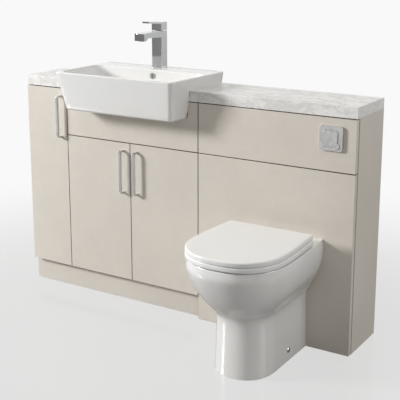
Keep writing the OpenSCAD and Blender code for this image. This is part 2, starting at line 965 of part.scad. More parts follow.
module basin_body() {
  loft([
    basin_ring(z_apron, apron_round),
    basin_ring(z_apron + apron_round * 0.3, apron_round * 0.3),
    basin_ring(z_apron + apron_round, 0),
    basin_ring(z_rim - rim_round, 0),
    basin_ring(z_rim - rim_round * 0.3, rim_round * 0.3),
    basin_ring(z_rim, rim_round)
  ]);
}

module bowl_hollow() {
  round_t = 0.06;
  loft([
    bowl_ring(1.25, z_bowl),
    bowl_ring(1.0, z_bowl + bowl_depth * 0.05),
    bowl_ring(0.8, z_bowl + bowl_depth * 0.22),
    bowl_ring(0.45, z_bowl + bowl_depth * 0.55),
    bowl_ring(round_t, z_rim - rim_round),
    bowl_ring(0, z_rim - rim_round * 0.3, rim_round * 0.3),
    bowl_ring(0, z_rim + cut, rim_round)
  ]);
}

module basin() {
  color(c_china)
    difference() {
      union() {
        difference() {
          basin_body();
          // behind the door fronts only the part over the worktop stays
          block(
            [basin_cx - basin_w, y_face, z_apron - cut],
            [basin_cx + basin_w, y_wall + cut, z_worktop]
          );
        }
        // tub of the bowl, which hangs in the worktop's notch
        intersection() {
          loft([
            bowl_ring(1.1, z_bowl - basin_wall, 2),
            bowl_ring(0.85, z_bowl + bowl_depth * 0.18, basin_wall),
            bowl_ring(0.45, z_worktop + 4, basin_wall)
          ]);
          block(
            [basin_cx - tub_half_w + notch_play, y_face - 2, z_apron],
            [basin_cx + tub_half_w - notch_play, y_tub_back, z_rim]
          );
        }
        // boss round the waste
        translate([basin_cx, y_waste, z_bowl - tub_foot])
          cylinder(r = waste_r + basin_wall, h = tub_foot + 4);
      }
      bowl_hollow();
      // hollow under the ledge
      block(
        [basin_cx - basin_w / 2 + basin_wall, y_tub_back, z_worktop - cut],
        [basin_cx + basin_w / 2 - basin_wall, y_basin_back - basin_wall,
        z_rim - basin_wall]
      );
      translate([basin_cx, y_waste, z_bowl - tub_foot - cut])
        cylinder(r = waste_r, h = tub_foot + 2 * cut + 4);
      translate([basin_cx, y_face + tap_set, z_worktop])
        cylinder(r = tap_hole_r, h = basin_rise + 2 * cut);
      translate([overflow_x, y_ledge - 20, overflow_z]) rotate([-90, 0, 0])
        cylinder(r = overflow_r, h = 20 + basin_wall + cut);
    }
}

overflow_x = basin_cx + 12;
overflow_z = z_rim - 24;

// Chromed ring pressed into the overflow hole, with a flange in the bowl
module overflow_ring() {
  ring_t = 2.5;
  flange = 3;
  translate([overflow_x, y_ledge - flange, overflow_z]) rotate([-90, 0, 0])
    difference() {
      union() {
        cylinder(r = overflow_r - 0.1, h = flange + basin_wall);
        cylinder(r = overflow_r + 2, h = 1);
      }
      translate([0, 0, -cut])
        cylinder(r = overflow_r - ring_t, h = flange + basin_wall + 2 * cut);
    }
}

// Waste: flange radius and height, tail radius and bottom, nut
flange_r = 31;
flange_t = 3;
tail_r = 21.5;
tail_wall = 3;
z_tail = z_apron - 60;
nut_t = 12;

module waste_fitting() {
  z_seat = z_bowl - tub_foot;
  color(c_chrome)
    translate([basin_cx, y_waste, 0])
      difference() {
        union() {
          translate([0, 0, z_bowl]) cylinder(r = flange_r, h = flange_t);
          translate([0, 0, z_tail]) cylinder(r = tail_r, h = z_bowl - z_tail);
          translate([0, 0, z_seat - nut_t]) cylinder(r = waste_r + 8, h = nut_t, $fn = 6);
        }
        translate([0, 0, z_tail - cut])
          cylinder(r = tail_r - tail_wall, h = z_bowl - z_tail + flange_t + 2 * cut);
      }
  color(c_chrome) overflow_ring();
  // bridge with the plug's guide bore
  color(c_chrome)
    translate([basin_cx, y_waste, z_bowl - 30])
      difference() {
        union() {
          translate([-tail_r + tail_wall, -3, 0]) cube([2 * (tail_r - tail_wall), 6, 6]);
          cylinder(r = 6, h = 6);
        }
        translate([0, 0, -cut]) cylinder(r = 3.55, h = 6 + 2 * cut);
      }
}

// Click-clack plug on its stem
module waste_plug() {
  plug_r = 29;
  color(c_chrome)
    translate([basin_cx, y_waste, z_bowl + flange_t + 0.2]) {
      rotate_extrude()
        polygon([
          [0, 0], [plug_r - 3, 0], [plug_r, 1.5], [plug_r - 1, 3],
          [plug_r * 0.7, 4.4], [plug_r * 0.35, 5.2], [0, 5.5]
        ]);
      translate([0, 0, -42]) cylinder(r = 3.5, h = 43);
    }
}

// Bottle trap: body, inlet, outlet and the pipe to the wall
trap_r = 30;
trap_h = 88;
z_trap = z_fascia - rail_h - 20 - trap_h;
z_outlet = z_trap + trap_h - 22;

module bottle_trap() {
  inlet_outer = waste_pipe_r;
  pipe_wall = 2;
  color(c_white)
    translate([basin_cx, y_waste, 0])
      difference() {
        union() {
          translate([0, 0, z_trap]) cylinder(r = trap_r, h = trap_h);
          translate([0, 0, z_trap - 8]) cylinder(r = trap_r - 4, h = 8);
          translate([0, 0, z_trap + 26]) cylinder(r = trap_r + 3, h = 14, $fn = 12);
          translate([0, 0, z_trap + trap_h]) cylinder(r = inlet_outer + 8, h = 16);
          translate([0, 0, z_trap + trap_h])
            cylinder(r = inlet_outer, h = z_tail - z_trap - trap_h);
          translate([0, 0, z_tail - 18]) cylinder(r = tail_r + 4, h = 30);
          translate([0, 0, z_outlet]) rotate([-90, 0, 0])
            cylinder(r = waste_pipe_r, h = y_wall - y_waste);
          translate([0, trap_r - 6, z_outlet]) rotate([-90, 0, 0])
            cylinder(r = waste_pipe_r + 7, h = 22);
        }
        translate([0, 0, z_trap + 4]) cylinder(r = trap_r - 3, h = trap_h - 8);
        translate([0, 0, z_trap + 20])
          cylinder(r = inlet_outer - pipe_wall, h = z_tail - z_trap);
        translate([0, 0, z_tail]) cylinder(r = tail_r, h = 30);
        translate([0, 0, z_outlet]) rotate([-90, 0, 0])
          cylinder(r = waste_pipe_r - pipe_wall, h = y_wall - y_waste + cut);
      }
}

// ---- tap

y_tap = y_face + tap_set;
z_tap = z_rim;
z_head = z_tap + tap_h + head_gap;
y_tap_front = y_tap - tap_d / 2;
// Spout: height at the body and at its end, and the nozzle's depth below it
spout_h = 24;
spout_end_h = 17;
nozzle_h = 27;
nozzle_l = 26;
aerator_r = 11;
shank_r = 16;
shank_l = basin_rise + worktop_t + 12;
stem_w = 9;

module tap_body() {
  z_spout = z_tap + tap_h;
  color(c_chrome)
    difference() {
      union() {
        block(
          [basin_cx - tap_w / 2, y_tap_front, z_tap],
          [basin_cx + tap_w / 2, y_tap + tap_d / 2, z_tap + tap_h]
        );
        // spout with a tapered underside and a nozzle at its end
        translate([basin_cx - tap_w / 2, y_tap_front, z_spout])
          rotate([90, 0, 90]) linear_extrude(height = tap_w)
            polygon([
              [0, 0], [-spout_reach, -3], [-spout_reach, -3 - nozzle_h],
              [-spout_reach + nozzle_l * 0.55, -3 - nozzle_h],
              [-spout_reach + nozzle_l, -3 - spout_end_h], [0, -spout_h]
            ]);
        // foot plate
        block(
          [basin_cx - tap_w / 2 - 1, y_tap_front - 1, z_tap],
          [basin_cx + tap_w / 2 + 1, y_tap + tap_d / 2 + 1, z_tap + 2]
        );
        translate([basin_cx, y_tap, z_tap - shank_l]) cylinder(r = shank_r, h = shank_l);
      }
      // cartridge hole
      translate([basin_cx, y_tap, z_spout - cartridge_h])
        cylinder(r = cartridge_r, h = cartridge_h + cut);
      // holes for the two tails
      for (s = [-1, 1])
        translate([basin_cx + s * 8, y_tap, z_tap - shank_l - cut])
          cylinder(r = tail_hose_r, h = shank_l - 20);
      // aerator's seat
      translate([basin_cx, y_aerator, z_spout - 3 - nozzle_h - cut])
        cylinder(r = aerator_r, h = 10 + cut);
      translate([basin_cx, y_aerator, z_spout - 3 - nozzle_h])
        cylinder(r = aerator_r - 3, h = nozzle_h - 8);
    }
}

y_aerator = y_tap_front - spout_reach + aerator_r + 3;

module tap_aerator() {
  z0 = z_tap + tap_h - 3 - nozzle_h;
  color(c_white)
    translate([basin_cx, y_aerator, z0])
      difference() {
        translate([0, 0, -2]) cylinder(r = aerator_r, h = 12);
        for (a = [0 : 60 : 300])
          rotate([0, 0, a]) translate([5.5, 0, -3]) cylinder(r = 1.6, h = 14);
        translate([0, 0, -3]) cylinder(r = 1.6, h = 14);
      }
}

// Cartridge insert that turns with the lever, with the pin the lever tips on
lever_pin_r = 1.5;
lever_pin_half = tap_w / 2 - 6;
z_lever_pin = z_head + 5;
y_lever_pin = y_tap + tap_d / 2 - 6;
cartridge_r = 15;
cartridge_h = 40;

module tap_stem() {
  z0 = z_tap + tap_h;
  color(c_brass) {
    translate([basin_cx, y_tap, z0 - cartridge_h])
      cylinder(r = cartridge_r - hinge_play, h = cartridge_h);
    block(
      [basin_cx - stem_w / 2, y_tap - 5, z0],
      [basin_cx + stem_w / 2, y_lever_pin + 1, z_head + 9]
    );
    translate([basin_cx - stem_w / 2, y_lever_pin, z_lever_pin]) rotate([0, 90, 0])
      cylinder(r = 2.8, h = stem_w);
    translate([basin_cx - lever_pin_half, y_lever_pin, z_lever_pin]) rotate([0, 90, 0])
      cylinder(r = lever_pin_r, h = 2 * lever_pin_half);
  }
}

module tap_lever() {
  tip_half = 15;
  rise = 5;
  plate = 6;
  pocket = 9;
  y1 = y_tap + tap_d / 2;
  color(c_chrome)
    difference() {
      union() {
        block(
          [basin_cx - tap_w / 2, y_tap_front, z_head],
          [basin_cx + tap_w / 2, y1, z_head + head_h]
        );
        // thin plate that rises towards its tip
        translate([basin_cx, y_tap_front, z_head + head_h - plate])
          rotate([-rise, 0, 0])
            linear_extrude(height = plate)
              polygon([
                [-tap_w / 2, 1], [-tip_half, -lever_reach],
                [tip_half, -lever_reach], [tap_w / 2, 1]
              ]);
      }
      // pocket over the stem, open at the bottom
      block(
        [basin_cx - tap_w / 2 + pocket, y_tap_front + pocket, z_head - cut],
        [basin_cx + tap_w / 2 - pocket, y1 - 2, z_head + head_h - 8]
      );
      // bores for the stem's pin
      translate([basin_cx - lever_pin_half - 0.5, y_lever_pin, z_lever_pin])
        rotate([0, 90, 0])
          cylinder(r = lever_pin_r + hinge_play, h = 2 * lever_pin_half + 1);
      // relief at the back, so the head can tip up
      translate([basin_cx - tap_w / 2 - cut, y_lever_pin, z_lever_pin])
        rotate([90, 0, 90]) linear_extrude(height = tap_w + 2 * cut)
          polygon([[1.8, -6], [1.8, -5], [7, -2.6], [7, -6]]);
    }
}

module tap_backnut() {
  z1 = z_rim - basin_wall;
  color(c_brass)
    translate([basin_cx, y_tap, 0]) {
      difference() {
        union() {
          translate([0, 0, z1 - 3]) cylinder(r = 24, h = 3);
          translate([0, 0, z1 - 13]) cylinder(r = 20, h = 10, $fn = 6);
        }
        translate([0, 0, z1 - 14]) cylinder(r = shank_r, h = 16);
      }
    }
}

// Supply points on the wall behind the basin unit
supply_dx = 75;
z_supply = z_door_top - 130;
y_valve = y_wall - 45;
tail_hose_r = 5;

function tail_route(s) =
  let (z = z_tap - shank_l)
    [
      [basin_cx + s * 8, y_tap, z + 18],
      [basin_cx + s * 8, y_tap, z],
      [basin_cx + s * 8, y_tap, z - 18],
      [basin_cx + s * 14, y_tap, z - 60],
      [basin_cx + s * 40, y_tap - 2, z_supply + 150],
      [basin_cx + s * 68, y_valve, z_supply + 95],
      [basin_cx + s * supply_dx, y_valve, z_supply + 55],
      [basin_cx + s * supply_dx, y_valve, z_supply + 30]
    ];

module tap_tails() {
  color(c_steel)
    for (s = [-1, 1])
      tube(route(tail_route(s), 4), tail_hose_r, [0, 1, 0]);
}

// Isolating valve on a pipe stub from the wall, with its outlet upwards
module supply_valve(x, y, z) {
  translate([x, y, z]) {
    rotate([-90, 0, 0]) cylinder(r = supply_r, h = y_wall - y);
    translate([0, 12, 0]) rotate([-90, 0, 0]) cylinder(r = supply_r + 4, h = 10, $fn = 6);
    sphere(r = supply_r + 3);
    cylinder(r = supply_r, h = 20);
    translate([0, 0, 14]) cylinder(r = supply_r + 3, h = 16, $fn = 6);
    // screwdriver cam on the front
    translate([0, -supply_r - 5, 0]) rotate([-90, 0, 0]) cylinder(r = 4, h = 6);
  }
}

module isolating_valves() {
  color(c_chrome) {
    for (s = [-1, 1])
      supply_valve(basin_cx + s * supply_dx, y_valve, z_supply);
    supply_valve(fill_x, y_tank, z_cistern_supply);
    // riser to the fill valve's tail
    translate([fill_x, y_tank, z_cistern_supply + 30])
      cylinder(r = supply_r, h = z_tank - fill_tail_l - z_cistern_supply - 30);
  }
}

// ---- pan

// Pan's outline from the floor up at equal steps: share of the height, share of
// the way from the foot's width to the rim's, and from its reach to the rim's
pan_steps = [
  [0.00, 0.03, 0.04], [0.24, 0.00, 0.00], [0.47, -0.02, 0.00], [0.56, 0.18, 0.20],
  [0.65, 0.52, 0.49], [0.74, 0.82, 0.71], [0.83, 0.97, 0.88], [0.92, 1.02, 1.00],
  [0.985, 0.99, 0.99], [1.00, 0.965, 0.97]
];
rim_reach = pan_reach - 2;
// Step at which the hollow of the pan ends under the ledge
ledge_step = 7.5;
z_ledge = pan_h * spline(pan_steps, ledge_step)[0];

// Ring of the pan at step t, drawn in by inset
function pan_ring(t, inset = 0, y_back = y_face, drop = 0) =
  let (
    s = spline(pan_steps, t),
    half = foot_half_w + (pan_half_w - foot_half_w) * s[1] - inset,
    reach = foot_reach + (rim_reach - foot_reach) * s[2] - inset,
    mid = max(reach - half * 1.15, 40)
  )
    d_ring(
      pan_cx, half - 17 * max(s[1], 0), half, y_back, y_face - mid, y_face - reach,
      pan_h * s[0] - drop, 2.25
    );

// Bowl from its bottom up: depth share, half width, centre's reach, half length
bowl_steps = [
  [0.76, 34, 226, 38], [0.60, 44, 232, 56], [0.48, 62, 242, 84], [0.33, 90, 258, 112],
  [0.175, 108, 274, 130], [0.025, 114, 282, 140], [0.00, 116, 282, 142]
];

function bowl_loop(s, grow, lift = 0) =
  ellipse_ring(
    pan_cx, y_face - s[2], s[1] + grow, s[3] + grow, pan_h * (1 - s[0]) + lift
  );

module pan_bowl(grow, top) {
  loft(concat(
    [bowl_loop(bowl_steps[0], grow - 14, -grow - 9)],
    [for (i = [0 : 5]) bowl_loop(bowl_steps[i], grow)],
    [bowl_loop(bowl_steps[6], grow, top)]
  ));
}

// Water way from the sump over the weir and down to the outlet spigot
spigot_l = 45;
way_r = 34;
way_wall = 8;
way_points = [
  [pan_cx, y_face - 232, pan_h - 282],
  [pan_cx, y_face - 186, pan_h - 244],
  [pan_cx, y_face - 140, outlet_z + 20],
  [pan_cx, y_face - 104, outlet_z + 36],
  [pan_cx, y_face - 66, outlet_z + 14],
  [pan_cx, y_face - 36, outlet_z],
  [pan_cx, y_face - 12, outlet_z]
];

module water_way(r) {
  tube(route(way_points, 2), r, [1, 0, 0], 16);
}

// Fixing screws of the foot: height, distance from the panel, radius
fix_z = 38;
fix_y = y_face - 132;
fix_r = 8;
// Seat posts: half their spacing and their screws' radius
post_dx = 78;
post_screw_r = 4;

spigot_in = [pan_cx, y_face - 30, outlet_z];
spigot_bore = [pan_cx, y_face - 22, outlet_z];

module pan() {
  steps = len(pan_steps) - 1;
  color(c_china)
    difference() {
      union() {
        difference() {
          loft([for (t = [0 : 0.5 : steps]) pan_ring(t)]);
          loft(concat(
            [pan_ring(0, pan_wall, y_face + cut, cut)],
            [for (t = [1 : 7]) pan_ring(t, pan_wall, y_face + cut)],
            [pan_ring(ledge_step, pan_wall, y_face + cut)]
          ));
        }
        pan_bowl(pan_wall, 0);
        water_way(way_r + way_wall);
        bar(spigot_in, [pan_cx, y_face + spigot_l, outlet_z], outlet_r);
        bar([pan_cx, y_face - 160, inlet_z], [pan_cx, y_face, inlet_z], inlet_r + 9);
      }
      pan_bowl(0, cut);
      water_way(way_r);
      bar(spigot_bore, [pan_cx, y_face + spigot_l + cut, outlet_z], outlet_r - way_wall);
      bar([pan_cx, y_face - 160, inlet_z], [pan_cx, y_face + cut, inlet_z], inlet_r);
      translate([pan_cx - foot_half_w - 30, fix_y, fix_z]) rotate([0, 90, 0])
        cylinder(r = fix_r, h = 2 * foot_half_w + 60);
      for (s = [-1, 1])
        translate([pan_cx + s * post_dx, y_hinge, z_ledge - cut])
          cylinder(r = post_screw_r, h = pan_h - z_ledge + 2 * cut);
    }
}

// Half the foot's width where its fixings pass through
fix_half = foot_half_w + 1.8;

module pan_fixings() {
  for (s = [-1, 1])
    translate([pan_cx, fix_y, 0]) mirror([s < 0 ? 1 : 0, 0, 0]) {
      color(c_steel) {
        block([38, -22, 0], [fix_half - pan_wall - 6, 22, 5]);
        block([fix_half - pan_wall - 12, -14, 0], [fix_half - pan_wall - 6, 14, fix_z + 14]);
        translate([fix_half - pan_wall - 20, 0, fix_z]) rotate([0, 90, 0])
          cylinder(r = 4, h = pan_wall + 14);
      }
      color(c_china)
        translate([fix_half - 6, 0, fix_z]) rotate([0, 90, 0]) {
          cylinder(r = fix_r, h = 6);
          translate([0, 0, 6]) cylinder(r1 = fix_r + 2, r2 = fix_r, h = 2);
        }
    }
}

module pan_connector() {
  y0 = y_face + 8;
  color(c_white)
    translate([pan_cx, 0, outlet_z]) rotate([-90, 0, 0])
      difference() {
        union() {
          translate([0, 0, y_face + door_t + 6])
            cylinder(r = soil_r + 3, h = spigot_l - door_t + 6);
          translate([0, 0, y_face + spigot_l + 6])
            cylinder(r = soil_r, h = unit_d - spigot_l - 6);
          translate([0, 0, y_face + door_t + 6]) cylinder(r = soil_r + 6, h = 8);
        }
        translate([0, 0, y0]) cylinder(r = outlet_r, h = spigot_l - 8);
        translate([0, 0, y0]) cylinder(r = outlet_r - way_wall + 4, h = unit_d);
      }
}

// Flush pipe from the cistern's valve, with the cone that seals it in the pan
elbow_r = 50;

function pipe_path(past) = concat(
  [[pan_cx, y_face - 30 - past, inlet_z]],
  [for (a = [0 : 15 : 90])
    [pan_cx, y_tank - elbow_r * (1 - sin(a)), inlet_z + elbow_r * (1 - cos(a))]],
  [[pan_cx, y_tank, z_tank - valve_tail_l + past]]
);

module flush_pipe() {
  collar_h = 24;
  color(c_white)
    difference() {
      union() {
        tube(pipe_path(0), flush_pipe_r, [1, 0, 0], 24);
        // cone that seals the pipe in the pan
        bar([pan_cx, y_face - 26, inlet_z], [pan_cx, y_face, inlet_z], inlet_r);
        // collar round the valve's tail
        translate([pan_cx, y_tank, z_tank - valve_tail_l - 14])
          cylinder(r = valve_tail_r + 4, h = collar_h);
      }
      tube(pipe_path(cut), flush_pipe_r - 2, [1, 0, 0], 24);
      translate([pan_cx, y_tank, z_tank - valve_tail_l])
        cylinder(r = valve_tail_r + 0.3, h = collar_h);
    }
}

// ---- seat and lid

z_seat = pan_h + buffer_h;
z_seat_top = z_seat + seat_t;
lid_play = 1;
z_lid = z_seat_top + lid_play;
z_lid_top = z_lid + lid_t;
y_hinge = y_face - lid_set + 7;
z_hinge = z_seat_top - 3;
y_lid_mid = y_face - 285;
seat_over = 2;
seat_back = lid_set + 1.5;
knuckle_r = 7.5;
post_half = 6;
knuckle_gap = 0.5;
knuckle_w = 11.5;

// Ring of the lid at height z, drawn in by inset
function lid_ring(z, inset) =
  d_ring(
    pan_cx, lid_back_half_w - inset, lid_half_w - inset, y_face - lid_set - inset,
    y_lid_mid, y_face - pan_reach + inset, z, 2.3
  );

// Outer ring of the seat, and the ring of its opening with matching points
function seat_ring(z, inset) =
  d_ring(
    pan_cx, lid_back_half_w + seat_over - inset, lid_half_w + seat_over - inset,
    y_face - seat_back - inset, y_lid_mid, y_face - pan_reach + 1 + inset, z, 2.3
  );

function seat_hole_ring(z, inset) =
  let (angles = concat(
    [70, 110],
    [for (i = [1 : 3]) 112 + 17 * i],
    [for (i = [0 : 24]) 180 + 7.5 * i],
    [for (i = [1 : 3]) 17 * i]
  ))
    [for (a = angles)
      [pan_cx + (108 + inset) * cos(a), y_lid_mid + (128 + inset) * sin(a), z]];

// Hinge barrel with a web that butts on the seat's or the lid's back edge
module hinge_barrels(x, y0, z0, z1, pin_l) {
  for (s = [-1, 1])
    translate([pan_cx, y_hinge, z_hinge]) mirror([s < 0 ? 1 : 0, 0, 0])
      difference() {
        union() {
          translate([x, 0, 0]) rotate([0, 90, 0]) cylinder(r = knuckle_r, h = knuckle_w);
          block([x, y0, z0], [x + knuckle_w, 0, z1]);
          if (pin_l > 0)
            translate([x, 0, 0]) rotate([0, 90, 0]) cylinder(r = seat_pin_r, h = pin_l);
        }
        if (pin_l == 0)
          translate([x - cut, 0, 0]) rotate([0, 90, 0])
            cylinder(r = seat_pin_r + seat_play, h = knuckle_w + 2 * cut);
      }
}

// Barrels of the seat, whose pins run through the posts into the lid's barrels
module seat_hinge_barrels() {
  half = post_half + knuckle_gap + knuckle_w;
  color(c_chrome)
    hinge_barrels(post_dx - half, y_face - seat_back - y_hinge, -7, 3, 2 * half - 1);
}

module lid_hinge_barrels() {
  color(c_chrome)
    hinge_barrels(
      post_dx + post_half + knuckle_gap, y_face - lid_set - y_hinge, -2, 12, 0
    );
}

module seat() {
  z0 = z_seat;
  z1 = z_seat_top;
  color(c_china) {
    loft_loop([
      seat_ring(z0, 2), seat_ring(z0 + 3, 0), seat_ring(z1 - 6, 0),
      seat_ring(z1 - 2, 1.5), seat_ring(z1, 6),
      seat_hole_ring(z1, 16), seat_hole_ring(z1 - 3, 5), seat_hole_ring(z1 - 9, 0),
      seat_hole_ring(z0 + 2, 0), seat_hole_ring(z0, 2)
    ]);
  }
}

module lid() {
  z0 = z_lid;
  z1 = z_lid_top;
  color(c_china) {
    difference() {
      loft([
        lid_ring(z0, 1.5), lid_ring(z0 + 2, 0), lid_ring(z1 - 7, 0),
        lid_ring(z1 - 3, 1.2), lid_ring(z1 - 1, 4), lid_ring(z1, 10)
      ]);
      loft([lid_ring(z0 - cut, 12), lid_ring(z1 - 7, 13)]);
    }
  }
}

module seat_hinge_posts() {
  color(c_chrome)
    for (s = [-1, 1])
      translate([pan_cx + s * post_dx, y_hinge, 0])
        difference() {
          union() {
            translate([0, 0, pan_h]) cylinder(r = 14, h = 3);
            block([-post_half, -knuckle_r, pan_h + 3], [post_half, knuckle_r, z_hinge]);
            translate([-post_half, 0, z_hinge]) rotate([0, 90, 0])
              cylinder(r = knuckle_r, h = 2 * post_half);
            translate([0, 0, z_ledge - 16])
              cylinder(r = post_screw_r, h = pan_h - z_ledge + 16);
            translate([0, 0, z_ledge - 8]) cylinder(r = 12, h = 8, $fn = 6);
          }
          translate([-post_half - cut, 0, z_hinge]) rotate([0, 90, 0])
            cylinder(r = seat_pin_r + seat_play, h = 2 * (post_half + cut));
        }
}

module seat_buffers() {
  color(c_grey)
    for (s = [-1, 1], p = [[138, 215], [80, 410]])
      translate([pan_cx + s * p[0], y_face - p[1], pan_h])
        cylinder(r = 7, h = buffer_h);
}

module lid_buffers() {
  color(c_grey)
    for (s = [-1, 1])
      translate([pan_cx + s * 138, y_face - 250, z_seat_top])
        cylinder(r = 6, h = z_lid_top - 7 - z_seat_top);
}

// ---- cistern

tank_cx = (x_wc + x_right) / 2;
tank_gap = 3;
y_tank = y_wall - tank_gap - tank_d / 2;
cover_t = 10;
z_cover = wall_screw_z - rail_h / 2 - 6 - cover_t;
z_tank = inlet_z + flush_rise;
z_floor = z_tank + tank_wall;
fill_x = tank_cx - tank_w / 2 + 60;
z_cistern_supply = outlet_z + 60;
fill_tail_l = 30;
fill_tail_r = 10;
valve_tail_l = 26;
valve_tail_r = 24;
cable_hole_r = 15;

module cistern_tank() {
  color(c_white)
    difference() {
      union() {
        block(
          [tank_cx - tank_w / 2, y_tank - tank_d / 2, z_tank],
          [tank_cx + tank_w / 2, y_tank + tank_d / 2, z_cover]
        );
        for (x = [-tank_w / 2 + 50, tank_w / 2 - 50])
          translate([tank_cx + x, y_tank + tank_d / 2, z_cover - 40])
            rotate([-90, 0, 0]) cylinder(r = 12, h = tank_gap);
      }
      block(
        [tank_cx - tank_w / 2 + tank_wall, y_tank - tank_d / 2 + tank_wall, z_floor],
        [tank_cx + tank_w / 2 - tank_wall, y_tank + tank_d / 2 - tank_wall, z_cover + cut]
      );
      translate([pan_cx, y_tank, z_tank - cut])
        cylinder(r = valve_tail_r, h = tank_wall + 2 * cut);
      translate([fill_x, y_tank, z_tank - cut])
        cylinder(r = fill_tail_r, h = tank_wall + 2 * cut);
    }
}

module cistern_cover() {
  lip = 1;
  color(c_white)
    difference() {
      union() {
        block(
          [tank_cx - tank_w / 2 - lip, y_tank - tank_d / 2 - lip, z_cover],
          [tank_cx + tank_w / 2 + lip, y_tank + tank_d / 2 + lip, z_cover + cover_t - 2]
        );
        block(
          [tank_cx - tank_w / 2 + 8, y_tank - tank_d / 2 + 8, z_cover],
          [tank_cx + tank_w / 2 - 8, y_tank + tank_d / 2 - 8, z_cover + cover_t]
        );
      }
      translate([pan_cx, y_tank, z_cover - cut])
        cylinder(r = cable_hole_r, h = cover_t + 2 * cut);
    }
}

// Float's travel, height and its lowest place on the fill valve's column
float_travel = 60;
float_h = 50;
column_r = 12;
z_fill_head = z_cover - 75;
z_float = z_fill_head - 6 - float_travel - float_h;

module fill_valve() {
  color(c_white)
    translate([fill_x, y_tank, 0]) {
      translate([0, 0, z_tank - fill_tail_l])
        cylinder(r = fill_tail_r, h = fill_tail_l + tank_wall);
      translate([0, 0, z_tank - 12]) cylinder(r = fill_tail_r + 7, h = 12, $fn = 6);
      translate([0, 0, z_floor]) cylinder(r = 19, h = 5);
      translate([0, 0, z_floor]) cylinder(r = column_r, h = z_fill_head - z_floor);
      translate([0, 0, z_float - 6]) cylinder(r = column_r + 6, h = 6);
      translate([0, 0, z_fill_head]) cylinder(r = 20, h = 30);
      translate([0, 0, z_fill_head + 30]) cylinder(r = 14, h = 10);
      block([8, -4, z_fill_head + 8], [44, 4, z_fill_head + 16]);
    }
}

module float() {
  float_r = 30;
  color(c_grey)
    translate([fill_x, y_tank, z_float])
      difference() {
        cylinder(r = float_r, h = float_h);
        translate([0, 0, -cut]) cylinder(r = column_r + 0.08, h = float_h + 2 * cut);
        // open cup from below
        translate([0, 0, -cut])
          difference() {
            cylinder(r = float_r - 2, h = float_h - 2);
            cylinder(r = column_r + 4, h = float_h);
          }
      }
}

// Flush valve: cage height over the seat, stem radius, seal thickness and lift
cage_h = 56;
valve_stem_r = 4;
seal_t = 5;
seal_lift = 20;
z_valve_seat = z_floor + 5;
z_valve_top = z_cover - 55;

module flush_valve() {
  color(c_white)
    translate([pan_cx, y_tank, 0])
      difference() {
        union() {
          translate([0, 0, z_tank - valve_tail_l])
            cylinder(r = valve_tail_r, h = valve_tail_l + tank_wall);
          translate([0, 0, z_tank - 13])
            cylinder(r = valve_tail_r + 9, h = 13, $fn = 12);
          translate([0, 0, z_floor]) cylinder(r = 36, h = 5);
          translate([0, 0, z_valve_seat]) cylinder(r = 34, h = cage_h);
          translate([0, 0, z_valve_seat + cage_h])
            cylinder(r = 18, h = z_valve_top - z_valve_seat - cage_h);
        }
        translate([0, 0, z_tank - valve_tail_l - cut])
          cylinder(r = 19, h = valve_tail_l + tank_wall + 5 + 2 * cut);
        translate([0, 0, z_valve_seat]) cylinder(r = 30, h = cage_h - 6);
        // windows of the cage
        for (a = [0, 90])
          rotate([0, 0, a])
            block([-40, -15, z_valve_seat + 6], [40, 15, z_valve_seat + cage_h - 12]);
        translate([0, 0, z_valve_seat]) cylinder(r = valve_stem_r + 0.05, h = cage_h + 4 + cut);
        translate([0, 0, z_valve_seat + cage_h + 4])
          cylinder(r = 13, h = z_valve_top - z_valve_seat - cage_h);
      }
}

module flush_valve_seal() {
  color(c_grey)
    translate([pan_cx, y_tank, z_valve_seat]) {
      cylinder(r = 26, h = seal_t);
      translate([0, 0, seal_t]) cylinder(r = 12, h = 8);
      cylinder(r = valve_stem_r, h = cage_h + 34);
      translate([0, 0, cage_h + 30]) cylinder(r = 8, h = 6);
    }
}

// ---- flush plate

plate_x = x_right - plate_inset;
plate_z = z_top - plate_drop;
housing_w = 66;
housing_l = 50;
housing_wall = 2;
housing_play = 1;
button_gap = 0.8;
// Large button's centre from the plate's, and the small one's from the large one's
big_dx = -3;
big_dz = -1;
small_d = 23;
button_t = 6;
button_proud = 3;
button_stem_r = 3;

// Square with rounded corners, centred
module rounded_square(w, r) {
  square([w - 2 * r, w], center = true);
  square([w, w - 2 * r], center = true);
  for (x = [-1, 1], y = [-1, 1])
    translate([x * (w / 2 - r), y * (w / 2 - r)]) circle(r = r);
}

// Places children on the flush plate's face plane: X right, Y up, +Z outwards
module at_plate(dx, dz) {
  translate([plate_x + dx, y_face, plate_z + dz]) rotate([90, 0, 0]) children();
}

module flush_plate() {
  h = housing_w;
  big = [big_dx, big_dz];
  small = [big_dx + small_d, big_dz - small_d];
  color(c_steel)
    at_plate(0, 0)
      difference() {
        union() {
          linear_extrude(height = plate_t) rounded_square(plate_w, 8);
          translate([-h / 2, -h / 2, -housing_l]) cube([h, h, housing_l]);
        }
        translate([-h / 2 + housing_wall, -h / 2 + housing_wall, -housing_l + 3])
          cube([h - 2 * housing_wall, h - 2 * housing_wall, housing_l - 3]);
        translate([0, 0, -cut])
          linear_extrude(height = plate_t + 2 * cut) {
            translate(big) rounded_square(button_w + 2 * button_gap, 9);
            translate(small) circle(r = small_button_r + button_gap);
          }
        for (p = [big, small])
          translate([p.x, p.y, -housing_l - cut])
            cylinder(r = button_stem_r + 0.05, h = 5);
      }
}

module button_shape(stem) {
  translate([0, 0, plate_t + button_proud - button_t])
    linear_extrude(height = button_t) children();
  translate([stem.x, stem.y, -housing_l])
    cylinder(r = button_stem_r, h = housing_l + plate_t + button_proud - button_t);
}

module full_flush_button() {
  color(c_steel)
    at_plate(big_dx, big_dz)
      button_shape([0, 0])
        difference() {
          rounded_square(button_w, 8);
          translate([small_d, -small_d]) circle(r = small_button_r + button_gap);
        }
}

module half_flush_button() {
  color(c_steel)
    at_plate(big_dx + small_d, big_dz - small_d)
      button_shape([0, 0]) circle(r = small_button_r);
}

